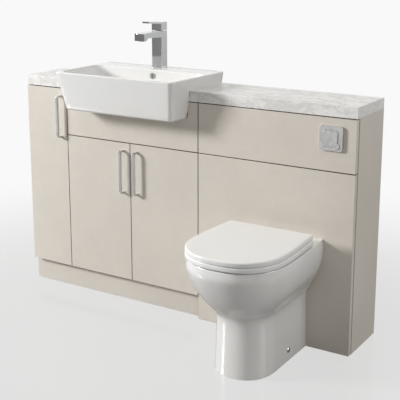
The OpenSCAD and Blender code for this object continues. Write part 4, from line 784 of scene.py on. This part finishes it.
class Maker:
    """Turns surfaces into pieces that ride on the frame."""

    def piece(
        self, name: str, skin: Skin, finish: Finish, nodes: tuple[str, ...], sharp: float
    ) -> bpy.types.Object:
        """Makes one piece.

        Args:
            name: the piece's name.
            skin: its surface.
            finish: what it is finished in.
            nodes: frame nodes that it stands for; it rides on the first one's body.
            sharp: angle past which an edge stays crisp, in degrees.

        Returns:
            The object.
        """
        mesh = bpy.data.meshes.new(name)
        mesh.from_pydata(skin.points.tolist(), [], skin.faces)
        work = bmesh.new()
        work.from_mesh(mesh)
        bmesh.ops.remove_doubles(work, verts=work.verts, dist=MERGE)
        bmesh.ops.dissolve_degenerate(work, edges=work.edges, dist=MERGE)
        work.to_mesh(mesh)
        work.free()
        mesh.shade_smooth()
        return self._finished(name, mesh, finish, nodes, sharp)

    def softened(
        self, node: str, finish: Finish, width: float, steps: int,
        painted_gap_span: tuple[float, float] | None = None,
    ) -> bpy.types.Object:
        """Makes a piece from a frame node's own shape, with its edges eased.

        Args:
            node: the frame node.
            finish: what it is finished in.
            width: width of the eased edges.
            steps: steps across each eased edge.
            painted_gap_span: span of x in which the slab's side faces get painted shade of the
                gaps, or None.

        Returns:
            The object, which stands for the node.
        """
        mesh = frame["nodes"][node].data.copy()
        mesh.name = f"{node}_eased"
        if mesh.has_custom_normals:
            mesh.attributes.remove(mesh.attributes["custom_normal"])
        work = bmesh.new()
        work.from_mesh(mesh)
        bmesh.ops.remove_doubles(work, verts=work.verts, dist=WELD)
        bmesh.ops.dissolve_limit(
            work, angle_limit=LEVEL_ANGLE, verts=work.verts, edges=work.edges
        )
        edges = [e for e in work.edges if e.is_manifold and e.calc_face_angle(0.0) > BEND_ANGLE]
        made = bmesh.ops.bevel(
            work, geom=edges, offset=width, segments=steps, profile=0.5, affect="EDGES",
            clamp_overlap=True,
        )
        self._level(work, set(made["faces"]))
        work.to_mesh(mesh)
        work.free()
        if painted_gap_span:
            self._paint_gap_shade(mesh, painted_gap_span)
        return self._finished(f"{node}_piece", mesh, finish, (node,), CRISP_ANGLE)

    def _level(self, work: bmesh.types.BMesh, bends: set) -> None:
        """Shades a face flat where only eased edges or level faces meet it."""
        work.normal_update()
        for face in work.faces:
            around = {other for edge in face.edges for other in edge.link_faces} - bends
            slopes = [face.normal.dot(other.normal) for other in around]
            face.smooth = face in bends or min(slopes, default=1.0) < LEVEL_DOT

    def _paint_gap_shade(self, mesh: bpy.types.Mesh, span: tuple[float, float]) -> None:
        """Marks the side faces of a slab whose middles lie within a span of x, for the painted
        shade of the gaps.
        """
        count = len(mesh.polygons)
        normal, middle = np.empty(count * 3, np.float32), np.empty(count * 3, np.float32)
        mesh.polygons.foreach_get("normal", normal)
        mesh.polygons.foreach_get("center", middle)
        side = np.abs(normal.reshape(-1, 3)[:, 1]) < SIDE_DOT
        x = middle.reshape(-1, 3)[:, 0]
        gap_shade_faces = side & (x > span[0]) & (x < span[1])
        # the mark carries painted shade: the finish turns these faces dark brown
        layer = mesh.attributes.new("edge", "FLOAT", "FACE")
        layer.data.foreach_set("value", gap_shade_faces.astype(np.float32))

    def _finished(
        self, name: str, mesh: bpy.types.Mesh, finish: Finish, nodes: tuple[str, ...], sharp: float
    ) -> bpy.types.Object:
        """Dresses a mesh, marks its crisp edges and hangs it on its body."""
        mesh.materials.clear()
        mesh.materials.append(finish.material())
        smooth = np.empty(len(mesh.polygons), bool)
        mesh.polygons.foreach_get("use_smooth", smooth)
        mesh.set_sharp_from_angle(angle=math.radians(sharp))
        mesh.polygons.foreach_set("use_smooth", smooth)
        mesh.update()
        made = bpy.data.objects.new(name, mesh)
        bpy.context.scene.collection.objects.link(made)
        body = body_of(nodes[0])
        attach(made, body)
        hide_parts(*nodes)
        LOG.info("%s: %d faces on %s", name, len(mesh.polygons), body)
        return made

    def dress(self, node: str, finish: Finish) -> None:
        """Gives a frame node that stays a finish."""
        mesh = frame["nodes"][node].data
        mesh.materials.clear()
        mesh.materials.append(finish.material())
        LOG.info("%s keeps its solid", node)


MAKER = Maker()
DOORS = ("side", "left", "right")


def body_of(node: str) -> str:
    """Name of the frame's body that a node belongs to."""
    bodies = frame["record"]["behaviour"]["bodies"]
    return next(name for name, nodes in bodies.items() if node in nodes)


def node_box(node: str) -> tuple[Array, Array]:
    """Corners of a frame node as arrays."""
    lo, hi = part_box(node)
    return np.array(lo), np.array(hi)


# --------------------------------------------------------------- sub-assemblies


@dataclass(frozen=True)
class Levels:
    """Planes that the whole run shares, read from its frame."""

    face: float
    worktop: float

    @classmethod
    def read(cls) -> "Levels":
        """Takes the planes from the frame's own boxes.

        Returns:
            The front of the doors and the worktop's top.
        """
        return cls(node_box("wc_lower_panel")[0][1], node_box("worktop")[1][2])


@dataclass
class SubAssembly:
    """Pieces of one part of the run, which are built and dressed together."""

    levels: Levels

    def build(self) -> None:
        """Makes the new pieces."""

    def dress(self) -> None:
        """Gives the frame nodes that stay their finishes."""


@dataclass
class Fronts(SubAssembly):
    """Doors, fascia and panels: flat slabs with crisp eased edges and painted gap shade on their
    side faces.
    """

    ease: float = 0.0011
    # span of x whose slab side faces get painted shade of the gaps
    gap_shade_span: tuple[float, float] = (-0.69, 0.69)
    nodes: tuple[str, ...] = (
        "side_door", "left_door", "right_door", "basin_fascia", "wc_upper_panel",
        "wc_lower_panel", "plinth",
    )

    def build(self) -> None:
        """Eased copies of every front and of the plinth, with painted gap shade on their inner side
        faces.
        """
        for node in self.nodes:
            MAKER.softened(node, DOOR, self.ease, 2, self.gap_shade_span)


@dataclass
class Carcass(SubAssembly):
    """Boards, rails, legs and fixings behind the fronts."""

    ease: float = 0.0006

    def build(self) -> None:
        """Eased copies of the boards that a view can reach."""
        for node, finish in (("unit_gables", GABLE), ("wc_unit_gables", DOOR)):
            MAKER.softened(node, finish, self.ease, 1)
        for node in ("side_unit_back", "side_unit_shelves", "unit_rails", "wc_unit_rails"):
            MAKER.softened(node, BOARD, self.ease, 1)

    def dress(self) -> None:
        """Small fittings keep their solids."""
        for node in ("shelf_pins", "unit_connectors"):
            MAKER.dress(node, STEEL)
        MAKER.dress("panel_fixings", GREY)
        MAKER.dress("adjustable_legs", BLACK)


@dataclass
class Hinges(SubAssembly):
    """Concealed hinges: arms on the gables, links and cups on the doors."""

    def dress(self) -> None:
        """All of them stay as solids in bright steel."""
        MAKER.dress("hinge_arms", STEEL)
        for door in DOORS:
            MAKER.dress(f"{door}_hinge_links", STEEL)
            MAKER.dress(f"{door}_hinge_cups", STEEL)


@dataclass
class Handles(SubAssembly):
    """Flat chromed bars bent to a D, with eased edges."""

    ease: float = 0.0012

    def build(self) -> None:
        """Eased copies of the three handles."""
        for door in DOORS:
            MAKER.softened(f"{door}_handle", CHROME, self.ease, 3)


@dataclass
class Worktop(SubAssembly):
    """Stone-effect worktop with its notch for the basin."""

    ease: float = 0.0018

    def build(self) -> None:
        """Eased copy of the slab."""
        MAKER.softened("worktop", STONE, self.ease, 3)


@dataclass
class Basin(SubAssembly):
    """Semi-recessed basin with a deep leaning apron, and its waste."""

    width: float = 0.522
    depth: float = 0.350
    apron: float = 0.145
    lean: float = 0.031
    taper: float = 0.022
    flare: float = 0.007
    corner: float = 0.018
    rim_round: float = 0.004
    apron_round: float = 0.009
    rim: float = 0.014
    ledge: float = 0.104
    slope: float = 0.084
    slope_bend: float = 0.4
    front_fall: tuple[float, float] = (0.042, 0.008)
    back_fall: float = 0.014
    bowl_corner: float = 0.040
    corner_growth: float = 0.032
    bowl_depth: float = 0.112
    wall: float = 0.011
    waste: float = 0.0225
    waste_dish: float = 0.030
    waste_deep: float = 0.016
    waste_set: float = 0.060
    tub_half: float = 0.228
    overflow: tuple[float, float, float] = (0.012, 0.024, 0.0088)
    overflow_deep: float = 0.012
    overflow_reach: float = 0.02
    overflow_share: float = 0.468
    overflow_spread: float = 0.034
    steps: tuple[tuple[float, float], ...] = ((0.45, 0.55), (0.8, 0.22), (1.0, 0.05), (1.25, 0.0))

    def __post_init__(self) -> None:
        """Places the basin by its frame node."""
        lo, hi = node_box("basin")
        self.cx = (lo[0] + hi[0]) / 2
        self.z_rim, self.y_back = hi[2], hi[1]
        self.y_front = self.y_back - self.depth
        self.z_bowl = self.z_rim - self.bowl_depth
        self.z_under = self.z_bowl - self.wall
        self.y_waste = self.levels.face + self.waste_set
        self.quarter = np.linspace(0, QUARTER, 6)
        near = self.overflow_share + np.linspace(-self.overflow_spread, self.overflow_spread, 17)
        self.shares = np.unique(np.concatenate([np.linspace(0, 1, 24)[1:-1], near]))

    def _flared(self, ring: Array) -> Array:
        """Widens a ring towards the back: x grows in step with y."""
        ring = ring.copy()
        grow = 1 + self.flare / (self.width / 2) / self.depth * (ring[:, 1] - self.y_front)
        ring[:, 0] = self.cx + (ring[:, 0] - self.cx) * grow
        return ring

    def _outer(self, z: float, inset: float) -> Array:
        """Ring of the outside at a height, drawn in by inset."""
        t = (self.z_rim - z) / self.apron
        half = self.width / 2 - self.taper * t - inset
        return self._flared(rounded_ring(
            self.cx - half, self.cx + half, self.y_front + self.lean * t + inset,
            self.y_back - inset / 2, self.corner, z, shares=self.shares,
        ))

    def _bowl(self, t: float, z: float, grow: float = 0.0) -> Array:
        """Ring of the bowl at a height.

        Args:
            t: how far down the bowl it is, from 0 at the rim to 1.25 on the floor.
            z: its height.
            grow: how far outside the bowl's own wall it lies.

        Returns:
            A rounded rectangle whose sides come in with t and t squared; the
            points within the overflow's circle lie deeper.
        """
        bend = self.slope_bend
        half = self.width / 2 - self.rim - self.slope * ((1 + bend) * t - bend * t * t) + grow
        y0 = self.y_front + self.rim + self.front_fall[0] * t + self.front_fall[1] * t * t - grow
        y1 = self.y_back - self.ledge - self.back_fall * t * t + grow
        corner = min(self.bowl_corner + self.corner_growth * t, (y1 - y0) / 2 - 0.001)
        ring = self._flared(
            rounded_ring(self.cx - half, self.cx + half, y0, y1, corner, z, shares=self.shares)
        )
        dx, dz, r = self.overflow
        off = np.hypot(ring[:, 0] - self.cx - dx, z - self.z_rim + dz)
        hole = (off < r) & (ring[:, 1] > y1 - self.overflow_reach)
        ring[:, 1] += np.where(hole, self.overflow_deep, 0.0)
        return ring

    def _behind(self) -> Array:
        """Marks the points of a ring that lie behind the doors' face."""
        return self._outer(self.levels.worktop, 0.0)[:, 1] > self.levels.face

    def _footprint(self, t: float, z: float, grow: float) -> Array:
        """Ring of the tub behind the doors' face; its other points keep to the face."""
        ring = self._bowl(t, z, grow)
        face, back = self.levels.face, self.y_back - self.ledge + self.wall
        x = np.clip(ring[:, 0], self.cx - self.tub_half, self.cx + self.tub_half)
        y = np.where(self._behind(), np.clip(ring[:, 1], face, back), face)
        return np.column_stack([x, y, ring[:, 2]])

    def _cut_off(self, z: float, inset: float) -> Array:
        """Ring of the apron at a height, cut off at the doors' face."""
        ring = self._outer(z, inset)
        ring[:, 1] = np.minimum(ring[:, 1], self.levels.face)
        return ring

    def _apron_foot(self) -> Skin:
        """Apron below the tub: closed under its rounded foot and behind at the face."""
        z_apron, r = self.z_rim - self.apron, self.apron_round
        rows = [(z_apron + r * (1 - math.cos(a)), r * (1 - math.sin(a))) for a in self.quarter]
        rows.append((self.z_under, 0.0))
        return loft(np.array([self._cut_off(z, inset) for z, inset in rows]), (True, False))

    def _shell(self) -> Skin:
        """Apron above the tub's foot, rim and bowl in one skin.

        Returns:
            The surface: rings go up the apron in front of the doors' face and up
            the tub behind it, out under the rim at the worktop's top, over the
            rounded rim, down the bowl along a smooth curve of (t, height) and
            into the waste hole.
        """
        behind = self._behind()[:, None]
        rings = [
            np.where(behind, self._footprint(t, z, grow), self._cut_off(z, 0.0))
            for t, z, grow in self._tub_rows()
        ]
        r = self.rim_round
        above = [(self.levels.worktop, 0.0), (self.z_rim - 2 * r, 0.0)]
        above += [
            (self.z_rim - r + r * math.sin(a), r * (1 - math.cos(a))) for a in self.quarter
        ]
        rings += [self._outer(z, inset) for z, inset in above]
        rings += [
            self._bowl(0.0, self.z_rim - r + r * math.cos(a), r * (1 - math.sin(a)))
            for a in self.quarter
        ]
        rows = [(0.0, self.z_rim - r)]
        rows += [(t, self.z_bowl + share * self.bowl_depth) for t, share in self.steps]
        s = np.concatenate([np.linspace(0, 1, 28)[1:], np.linspace(1, len(self.steps), 34)[1:]])
        rings += [self._bowl(t, max(z, self.z_bowl)) for t, z in spline(np.array(rows), s).tolist()]
        rings += self._waste_rings(
            ((self.waste_dish, self.z_bowl), (self.waste, self.z_bowl - 0.0005),
             (self.waste, self.z_bowl - self.waste_deep)), rings[-1],
        )
        return loft(np.array(rings), (False, False))

    def _waste_rings(self, rows: Sequence[tuple[float, float]], like: Array) -> list[Array]:
        """Circles round the waste from rows of (radius, height)."""
        return [fan_ring(self.cx, self.y_waste, r, r, z, like) for r, z in rows]

    def _tub_rows(self) -> tuple[tuple[float, float, float], ...]:
        """Step, height and wall of the tub's rings, from its foot to the worktop."""
        return ((1.1, self.z_under, 0.002), (0.85, self.z_bowl + 0.02, self.wall),
                (0.65, self.z_bowl + 0.045, self.wall), (0.45, self.levels.worktop, self.wall))

    def _underside(self) -> Skin:
        """Underside of the tub, round the boss that the waste passes through."""
        edge = self._footprint(*self._tub_rows()[0])
        z_boss, r_boss = self.z_bowl - self.waste_deep, self.waste + self.wall
        rows = ((self.waste, z_boss), (r_boss, z_boss), (r_boss, self.z_under))
        return loft(np.array(self._waste_rings(rows, edge) + [edge]), (False, False))

    def build(self) -> None:
        """The china body."""
        skin = self._apron_foot().plus(self._shell()).plus(self._underside())
        MAKER.piece("basin_body", skin, CHINA, ("basin",), sharp=48.0)

    def dress(self) -> None:
        """Waste, plug and trap stay as solids."""
        for node in ("waste_fitting", "waste_plug", "bottle_trap"):
            MAKER.dress(node, CHROME)


@dataclass
class Tap(SubAssembly):
    """Square monobloc tap: body with spout, lever, and what is under the basin."""

    ease: float = 0.0013

    def build(self) -> None:
        """Eased copies of the body and the lever."""
        for node in ("tap_body", "tap_lever"):
            MAKER.softened(node, CHROME, self.ease, 3)

    def dress(self) -> None:
        """Parts under and inside the tap."""
        for node, finish in (("tap_aerator", WHITE), ("tap_stem", BRASS), ("tap_backnut", BRASS),
                             ("tap_tails", HOSE), ("isolating_valves", CHROME)):
            MAKER.dress(node, finish)


@dataclass
class Pan(SubAssembly):
    """Back-to-wall pan: straight foot, swelling body, flat rim, bowl and trap."""

    cx: float = 0.438
    height: float = 0.397
    foot_half: float = 0.100
    rim_half: float = 0.172
    foot_reach: float = 0.340
    rim_reach: float = 0.456
    back_taper: float = 0.017
    power: float = 2.25
    front_length: float = 1.15
    rim_round: float = 0.006
    bore: float = 0.034
    outlet_z: float = 0.190
    outlet: tuple[tuple[float, float], ...] = (
        (0.043, -0.02), (0.051, -0.02), (0.051, 0.043), (0.0495, 0.045), (0.0445, 0.045),
        (0.043, 0.043),
    )
    steps: tuple[tuple[float, float, float], ...] = (
        (0.00, 0.03, 0.04), (0.24, 0.00, 0.00), (0.47, -0.02, 0.00), (0.56, 0.18, 0.20),
        (0.65, 0.52, 0.49), (0.74, 0.82, 0.71), (0.83, 0.97, 0.88), (0.92, 1.02, 1.00),
        (0.985, 0.99, 0.99), (1.00, 0.965, 0.97),
    )
    bowl: tuple[tuple[float, float, float, float], ...] = (
        (0.012, 0.116, 0.282, 0.142), (0.175, 0.108, 0.274, 0.130), (0.33, 0.090, 0.258, 0.112),
        (0.48, 0.062, 0.242, 0.084), (0.60, 0.044, 0.232, 0.056), (0.70, 0.036, 0.227, 0.040),
        (0.76, 0.034, 0.226, 0.034),
    )
    trap: tuple[tuple[float, float], ...] = (
        (0.226, 0.0953), (0.226, 0.090), (0.2155, 0.072), (0.190, 0.062), (0.164, 0.072),
        (0.153, 0.098), (0.148, 0.150), (0.130, 0.200), (0.104, 0.224), (0.074, 0.210),
        (0.050, 0.193), (0.020, 0.190), (-0.044, 0.190),
    )

    def _outer(self, t: float) -> Array:
        """Ring of the outside at step t: half width and reach grow with its shares."""
        z, wide, far = spline(np.array(self.steps), np.array([t]))[0]
        half = self.foot_half + (self.rim_half - self.foot_half) * wide
        reach = self.foot_reach + (self.rim_reach - self.foot_reach) * far
        mid = max(reach - self.front_length * half, 0.040)
        face = self.levels.face
        return d_ring(
            self.cx, half - self.back_taper * max(wide, 0.0), half, face, face - mid, face - reach,
            self.height * z, self.power,
        )

    def _body(self) -> Skin:
        """Outside, rim and bowl.

        Returns:
            The surface: D rings up the outside, then ellipses down the bowl whose
            half lengths follow a smooth curve through the bowl's rows.
        """
        rings = [self._outer(t) for t in np.linspace(0, len(self.steps) - 1, 82)]
        top = rings[-1]
        face, r = self.levels.face, self.rim_round
        _, a, far, b = self.bowl[0]
        for turn in np.linspace(0, QUARTER, 7):
            grow = r * (1 - math.sin(turn))
            z = self.height - r + r * math.cos(turn)
            rings.append(fan_ring(self.cx, face - far, a + grow, b + grow, z, top))
        down = np.linspace(0, len(self.bowl) - 1, 61)[1:]
        for depth, a, far, b in spline(np.array(self.bowl), down).tolist():
            z = self.height * (1 - depth)
            rings.append(fan_ring(self.cx, face - far, a, b, z, top))
        return loft(np.array(rings), (True, False))

    def _trap(self) -> Skin:
        """Water way from the bowl's foot round the bend and over to the outlet."""
        rows = np.array(self.trap)
        path = spline(rows, np.linspace(0, len(rows) - 1, 97))
        y = self.levels.face - path[:, 0]
        line = np.column_stack([np.full(len(path), self.cx), y, path[:, 1]])
        tube = sweep(line, self.bore, (1.0, 0.0, 0.0), 48)
        return Skin(tube.points, [face[::-1] for face in tube.faces if len(face) == 4])

    def _spigot(self) -> Skin:
        """Outlet spigot behind the foot, a short ring with a rounded end."""
        return turned(self.outlet).to_y().moved((self.cx, self.levels.face, self.outlet_z))

    def build(self) -> None:
        """The china pan."""
        skin = self._body().plus(self._trap()).plus(self._spigot())
        MAKER.piece("pan_body", skin, CHINA, ("pan",), sharp=50.0)

    def dress(self) -> None:
        """Fixings, connector and pipe stay as solids."""
        MAKER.dress("pan_fixings", STEEL)
        MAKER.dress("pan_connector", WHITE)
        MAKER.dress("flush_pipe", WHITE)


@dataclass
class Seat(SubAssembly):
    """D-shaped seat and lid with their hinges and buffers."""

    cx: float = 0.438
    z_seat: float = 0.401
    z_lid: float = 0.419
    thick: float = 0.017
    mid: float = 0.285
    reach: float = 0.458
    lid_set: float = 0.077
    lid_half: float = 0.168
    lid_back_half: float = 0.155
    seat_over: float = 0.002
    hole: tuple[float, float] = (0.108, 0.128)
    power: float = 2.3
    back_corner: float = 0.006
    edge_round: float = 0.0055
    lid_inset: float = 0.005
    seat_inset: float = 0.006
    hollow: float = 0.007
    dome: float = 0.0007
    dome_span: float = 0.12
    hole_round: tuple[float, float] = (0.016, 0.009)

    def _ring(self, z: float, inset: float, over: float, back: float, front: float) -> Array:
        """D ring of the seat or the lid, drawn in by inset."""
        face = self.levels.face
        return d_ring(
            self.cx, self.lid_back_half + over - inset, self.lid_half + over - inset,
            face - back - inset, face - self.mid, face - self.reach + front + inset, z, self.power,
            corner=max(self.back_corner - inset, 0.0005),
        )

    def _lid(self) -> Skin:
        """Lid: hollow underneath, straight sides, rounded top edge, slightly domed top.

        Returns:
            The surface; the top lies below its middle by the dome's height times
            the square of the share of the way still to go.
        """
        z0, z1 = self.z_lid, self.z_lid + self.thick
        under = [(z1 - self.hollow, inset) for inset in np.linspace(0.12, 0.014, 7)]
        under += [(z0, 0.012), (z0, 0.0015), (z0 + 0.0006, 0.0004), (z0 + 0.002, 0.0)]
        under.append((z0 + 0.007, 0.0))
        rows = eased(under, self.edge_round, z1 - self.dome, self.lid_inset, 7)
        for inset in np.linspace(0.0075, 0.145, 14):
            rows.append((z1 - self.dome * (1 - min(1.0, inset / self.dome_span)) ** 2, inset))
        return loft(np.array([self._ring(z, inset, 0.0, self.lid_set, 0.0) for z, inset in rows]))

    def _seat(self) -> Skin:
        """Seat: a closed loop of rings, out along its D and back along its hole."""
        z0, z1 = self.z_seat, self.z_seat + self.thick
        over, back, front = self.seat_over, self.lid_set + 0.0015, 0.001
        under = [(z0, 0.002), (z0 + 0.0007, 0.0006), (z0 + 0.003, 0.0)]
        rows = eased(under, self.edge_round, z1, self.seat_inset, 6)
        rings = [self._ring(z, inset, over, back, front) for z, inset in rows]
        a, b = self.hole
        y = self.levels.face - self.mid
        wide, deep = self.hole_round
        turn = np.linspace(0, QUARTER, 8)
        inner = [(z1 - deep * (1 - math.cos(t)), wide * (1 - math.sin(t))) for t in turn]
        inner += [(z0 + 0.002, 0.0), (z0, 0.002)]
        rings += [fan_ring(self.cx, y, a + grow, b + grow, z, rings[0]) for z, grow in inner]
        return loft(np.array(rings), loop=True)

    def build(self) -> None:
        """Seat and lid."""
        MAKER.piece("seat_shell", self._seat(), SEAT, ("seat",), sharp=55.0)
        MAKER.piece("lid_shell", self._lid(), SEAT, ("lid",), sharp=55.0)

    def dress(self) -> None:
        """Hinges and buffers stay as solids."""
        for node in ("seat_hinge_posts", "seat_hinge_barrels", "lid_hinge_barrels"):
            MAKER.dress(node, CHROME)
        for node in ("seat_buffers", "lid_buffers"):
            MAKER.dress(node, RUBBER)


@dataclass
class Cistern(SubAssembly):
    """Concealed cistern with its valves, cables and push plate."""

    ease: float = 0.0025
    plate_ease: float = 0.0012
    button_ease: float = 0.0008

    def build(self) -> None:
        """Eased copies of the tank, its cover and the plate with its buttons."""
        for node in ("cistern_tank", "cistern_cover"):
            MAKER.softened(node, WHITE, self.ease, 3)
        MAKER.softened("flush_plate", SATIN, self.plate_ease, 3)
        for button in ("full_flush_button", "half_flush_button"):
            MAKER.softened(button, SATIN, self.button_ease, 3)

    def dress(self) -> None:
        """Valves and cables stay as solids."""
        for node, finish in (("fill_valve", WHITE), ("float", GREY), ("flush_valve", WHITE),
                             ("flush_valve_seal", RUBBER), ("flush_cables", BLACK)):
            MAKER.dress(node, finish)


# --------------------------------------------------------------------- studio


@dataclass(frozen=True)
class Lamp:
    """Square area lamp that faces a point."""

    name: str
    place: Place
    aim: Place
    size: float
    power: float

    def build(self) -> None:
        """Adds the lamp to the scene."""
        light = bpy.data.lights.new(self.name, "AREA")
        light.shape = "SQUARE"
        light.size = self.size
        light.energy = self.power
        lamp = bpy.data.objects.new(self.name, light)
        lamp.location = self.place
        way = Vector(self.aim) - Vector(self.place)
        lamp.rotation_euler = way.to_track_quat("-Z", "Y").to_euler()
        bpy.context.scene.collection.objects.link(lamp)


@dataclass
class Studio:
    """Floor, backdrop, lamps and camera."""

    white: Colour = srgb(249, 249, 249)
    floor_colour: Colour = srgb(152, 152, 151)
    floor_rough: float = 0.16
    floor_half: float = 14.0
    floor_drop: float = 0.0004
    fade: tuple[float, float] = (0.7, 2.3)
    near_white: float = 0.66
    soft_colour: Colour = (1.0, 0.98, 0.95)
    soft_strength: tuple[float, float] = (0.08, 0.64)
    dark_side: Colour = (0.16, 0.16, 0.165)
    bright_side: Colour = (0.98, 0.98, 0.98)
    gloss_strength: float = 0.95
    lamps: tuple[Lamp, ...] = (
        Lamp("key", (-4.4, -2.9, 2.6), (0.0, 0.1, 0.4), 1.2, 306.0),
        Lamp("fill", (3.1, 0.25, 1.3), (0.7, 0.23, 0.5), 1.2, 17.0),
    )
    eye: Place = (1.7738, -2.550, 1.3628)
    eye_down: float = 12.88
    eye_turn: float = 32.0
    lens: float = 81.66
    sensor: float = 36.0
    shift: float = -0.125

    def build(self) -> None:
        """Makes everything that isn't part of the run."""
        self._floor()
        self._world()
        for lamp in self.lamps:
            lamp.build()
        self._camera()
        bpy.context.scene.view_settings.view_transform = "Standard"

    def _floor(self) -> None:
        """Glossy pale floor that runs far back and fades into the white."""
        material = bpy.data.materials.new("studio_floor")
        material.use_nodes = True
        graph = Graph(material.node_tree)
        far = graph.node(
            "ShaderNodeVectorMath", {"operation": "LENGTH"}, {0: graph.place()}, output="Value"
        )
        gloss = graph.principled(
            Base_Color=self.floor_colour, Roughness=self.floor_rough, Specular_IOR_Level=0.5
        )
        white = graph.node("ShaderNodeEmission", values={"Color": self.white, "Strength": 1.0})
        share = far.smooth(*self.fade, self.near_white, 1.0) * graph.ray("Camera")
        graph.finish(Output.SURFACE, graph.mixed(share, gloss, white))
        mesh = bpy.data.meshes.new("studio_floor")
        half, drop = self.floor_half, -self.floor_drop
        corners = ((-half, -half), (half, -half), (half, half), (-half, half))
        mesh.from_pydata([(x, y, drop) for x, y in corners], [], [(0, 1, 2, 3)])
        mesh.materials.append(material)
        floor = bpy.data.objects.new("studio_floor", mesh)
        bpy.context.scene.collection.objects.link(floor)

    def _sky(self, graph: Graph, colour: Wire | Colour, strength: Wire | float) -> Wire:
        """Background shader of a colour."""
        return graph.node("ShaderNodeBackground", values={"Color": colour, "Strength": strength})

    def _world(self) -> None:
        """White to the camera; a soft room with darker sides to gloss."""
        world = bpy.data.worlds.new("World")
        bpy.context.scene.world = world
        world.use_nodes = True
        graph = Graph(world.node_tree)
        way = graph.node("ShaderNodeTexCoord", output="Generated")
        x, y, z = (graph.axis(way, name) for name in ("X", "Y", "Z"))
        band = (x * 7.0 + y * 4.0).sine().smooth(-0.9, -0.55)
        room = graph.blend(band, self.dark_side, self.bright_side)
        behind = graph.blend(y.smooth(0.0, 0.35), room, self.bright_side)
        ceiling = graph.blend(z.smooth(0.15, 0.5), behind, self.bright_side)
        soft = self._sky(graph, self.soft_colour, z.smooth(0.0, 0.95, *self.soft_strength))
        shown = self._sky(graph, self.white, 1.0)
        mirrored = self._sky(graph, ceiling, self.gloss_strength)
        lit = graph.mixed(graph.ray("Glossy"), soft, mirrored)
        graph.finish(Output.WORLD, graph.mixed(graph.ray("Camera"), lit, shown))

    def _camera(self) -> None:
        """Camera at the photograph's own place and lens."""
        data = bpy.data.cameras.new("camera")
        data.sensor_width = self.sensor
        data.lens = self.lens
        data.shift_y = self.shift
        data.clip_end = 60.0
        camera = bpy.data.objects.new("camera", data)
        camera.location = self.eye
        pitch, turn = math.radians(90.0 - self.eye_down), math.radians(self.eye_turn)
        camera.rotation_euler = (pitch, 0.0, turn)
        bpy.context.scene.collection.objects.link(camera)
        bpy.context.scene.camera = camera


def main() -> None:
    """Builds the studio and the run, piece by piece."""
    logging.basicConfig(level=logging.INFO, format="%(name)s: %(message)s")
    Studio().build()
    levels = Levels.read()
    for kind in (Carcass, Fronts, Hinges, Handles, Worktop, Basin, Tap, Pan, Seat, Cistern):
        part = kind(levels)
        part.build()
        part.dress()
        LOG.info("%s is built and dressed", kind.__name__)


if __name__ == "__main__":
    main()
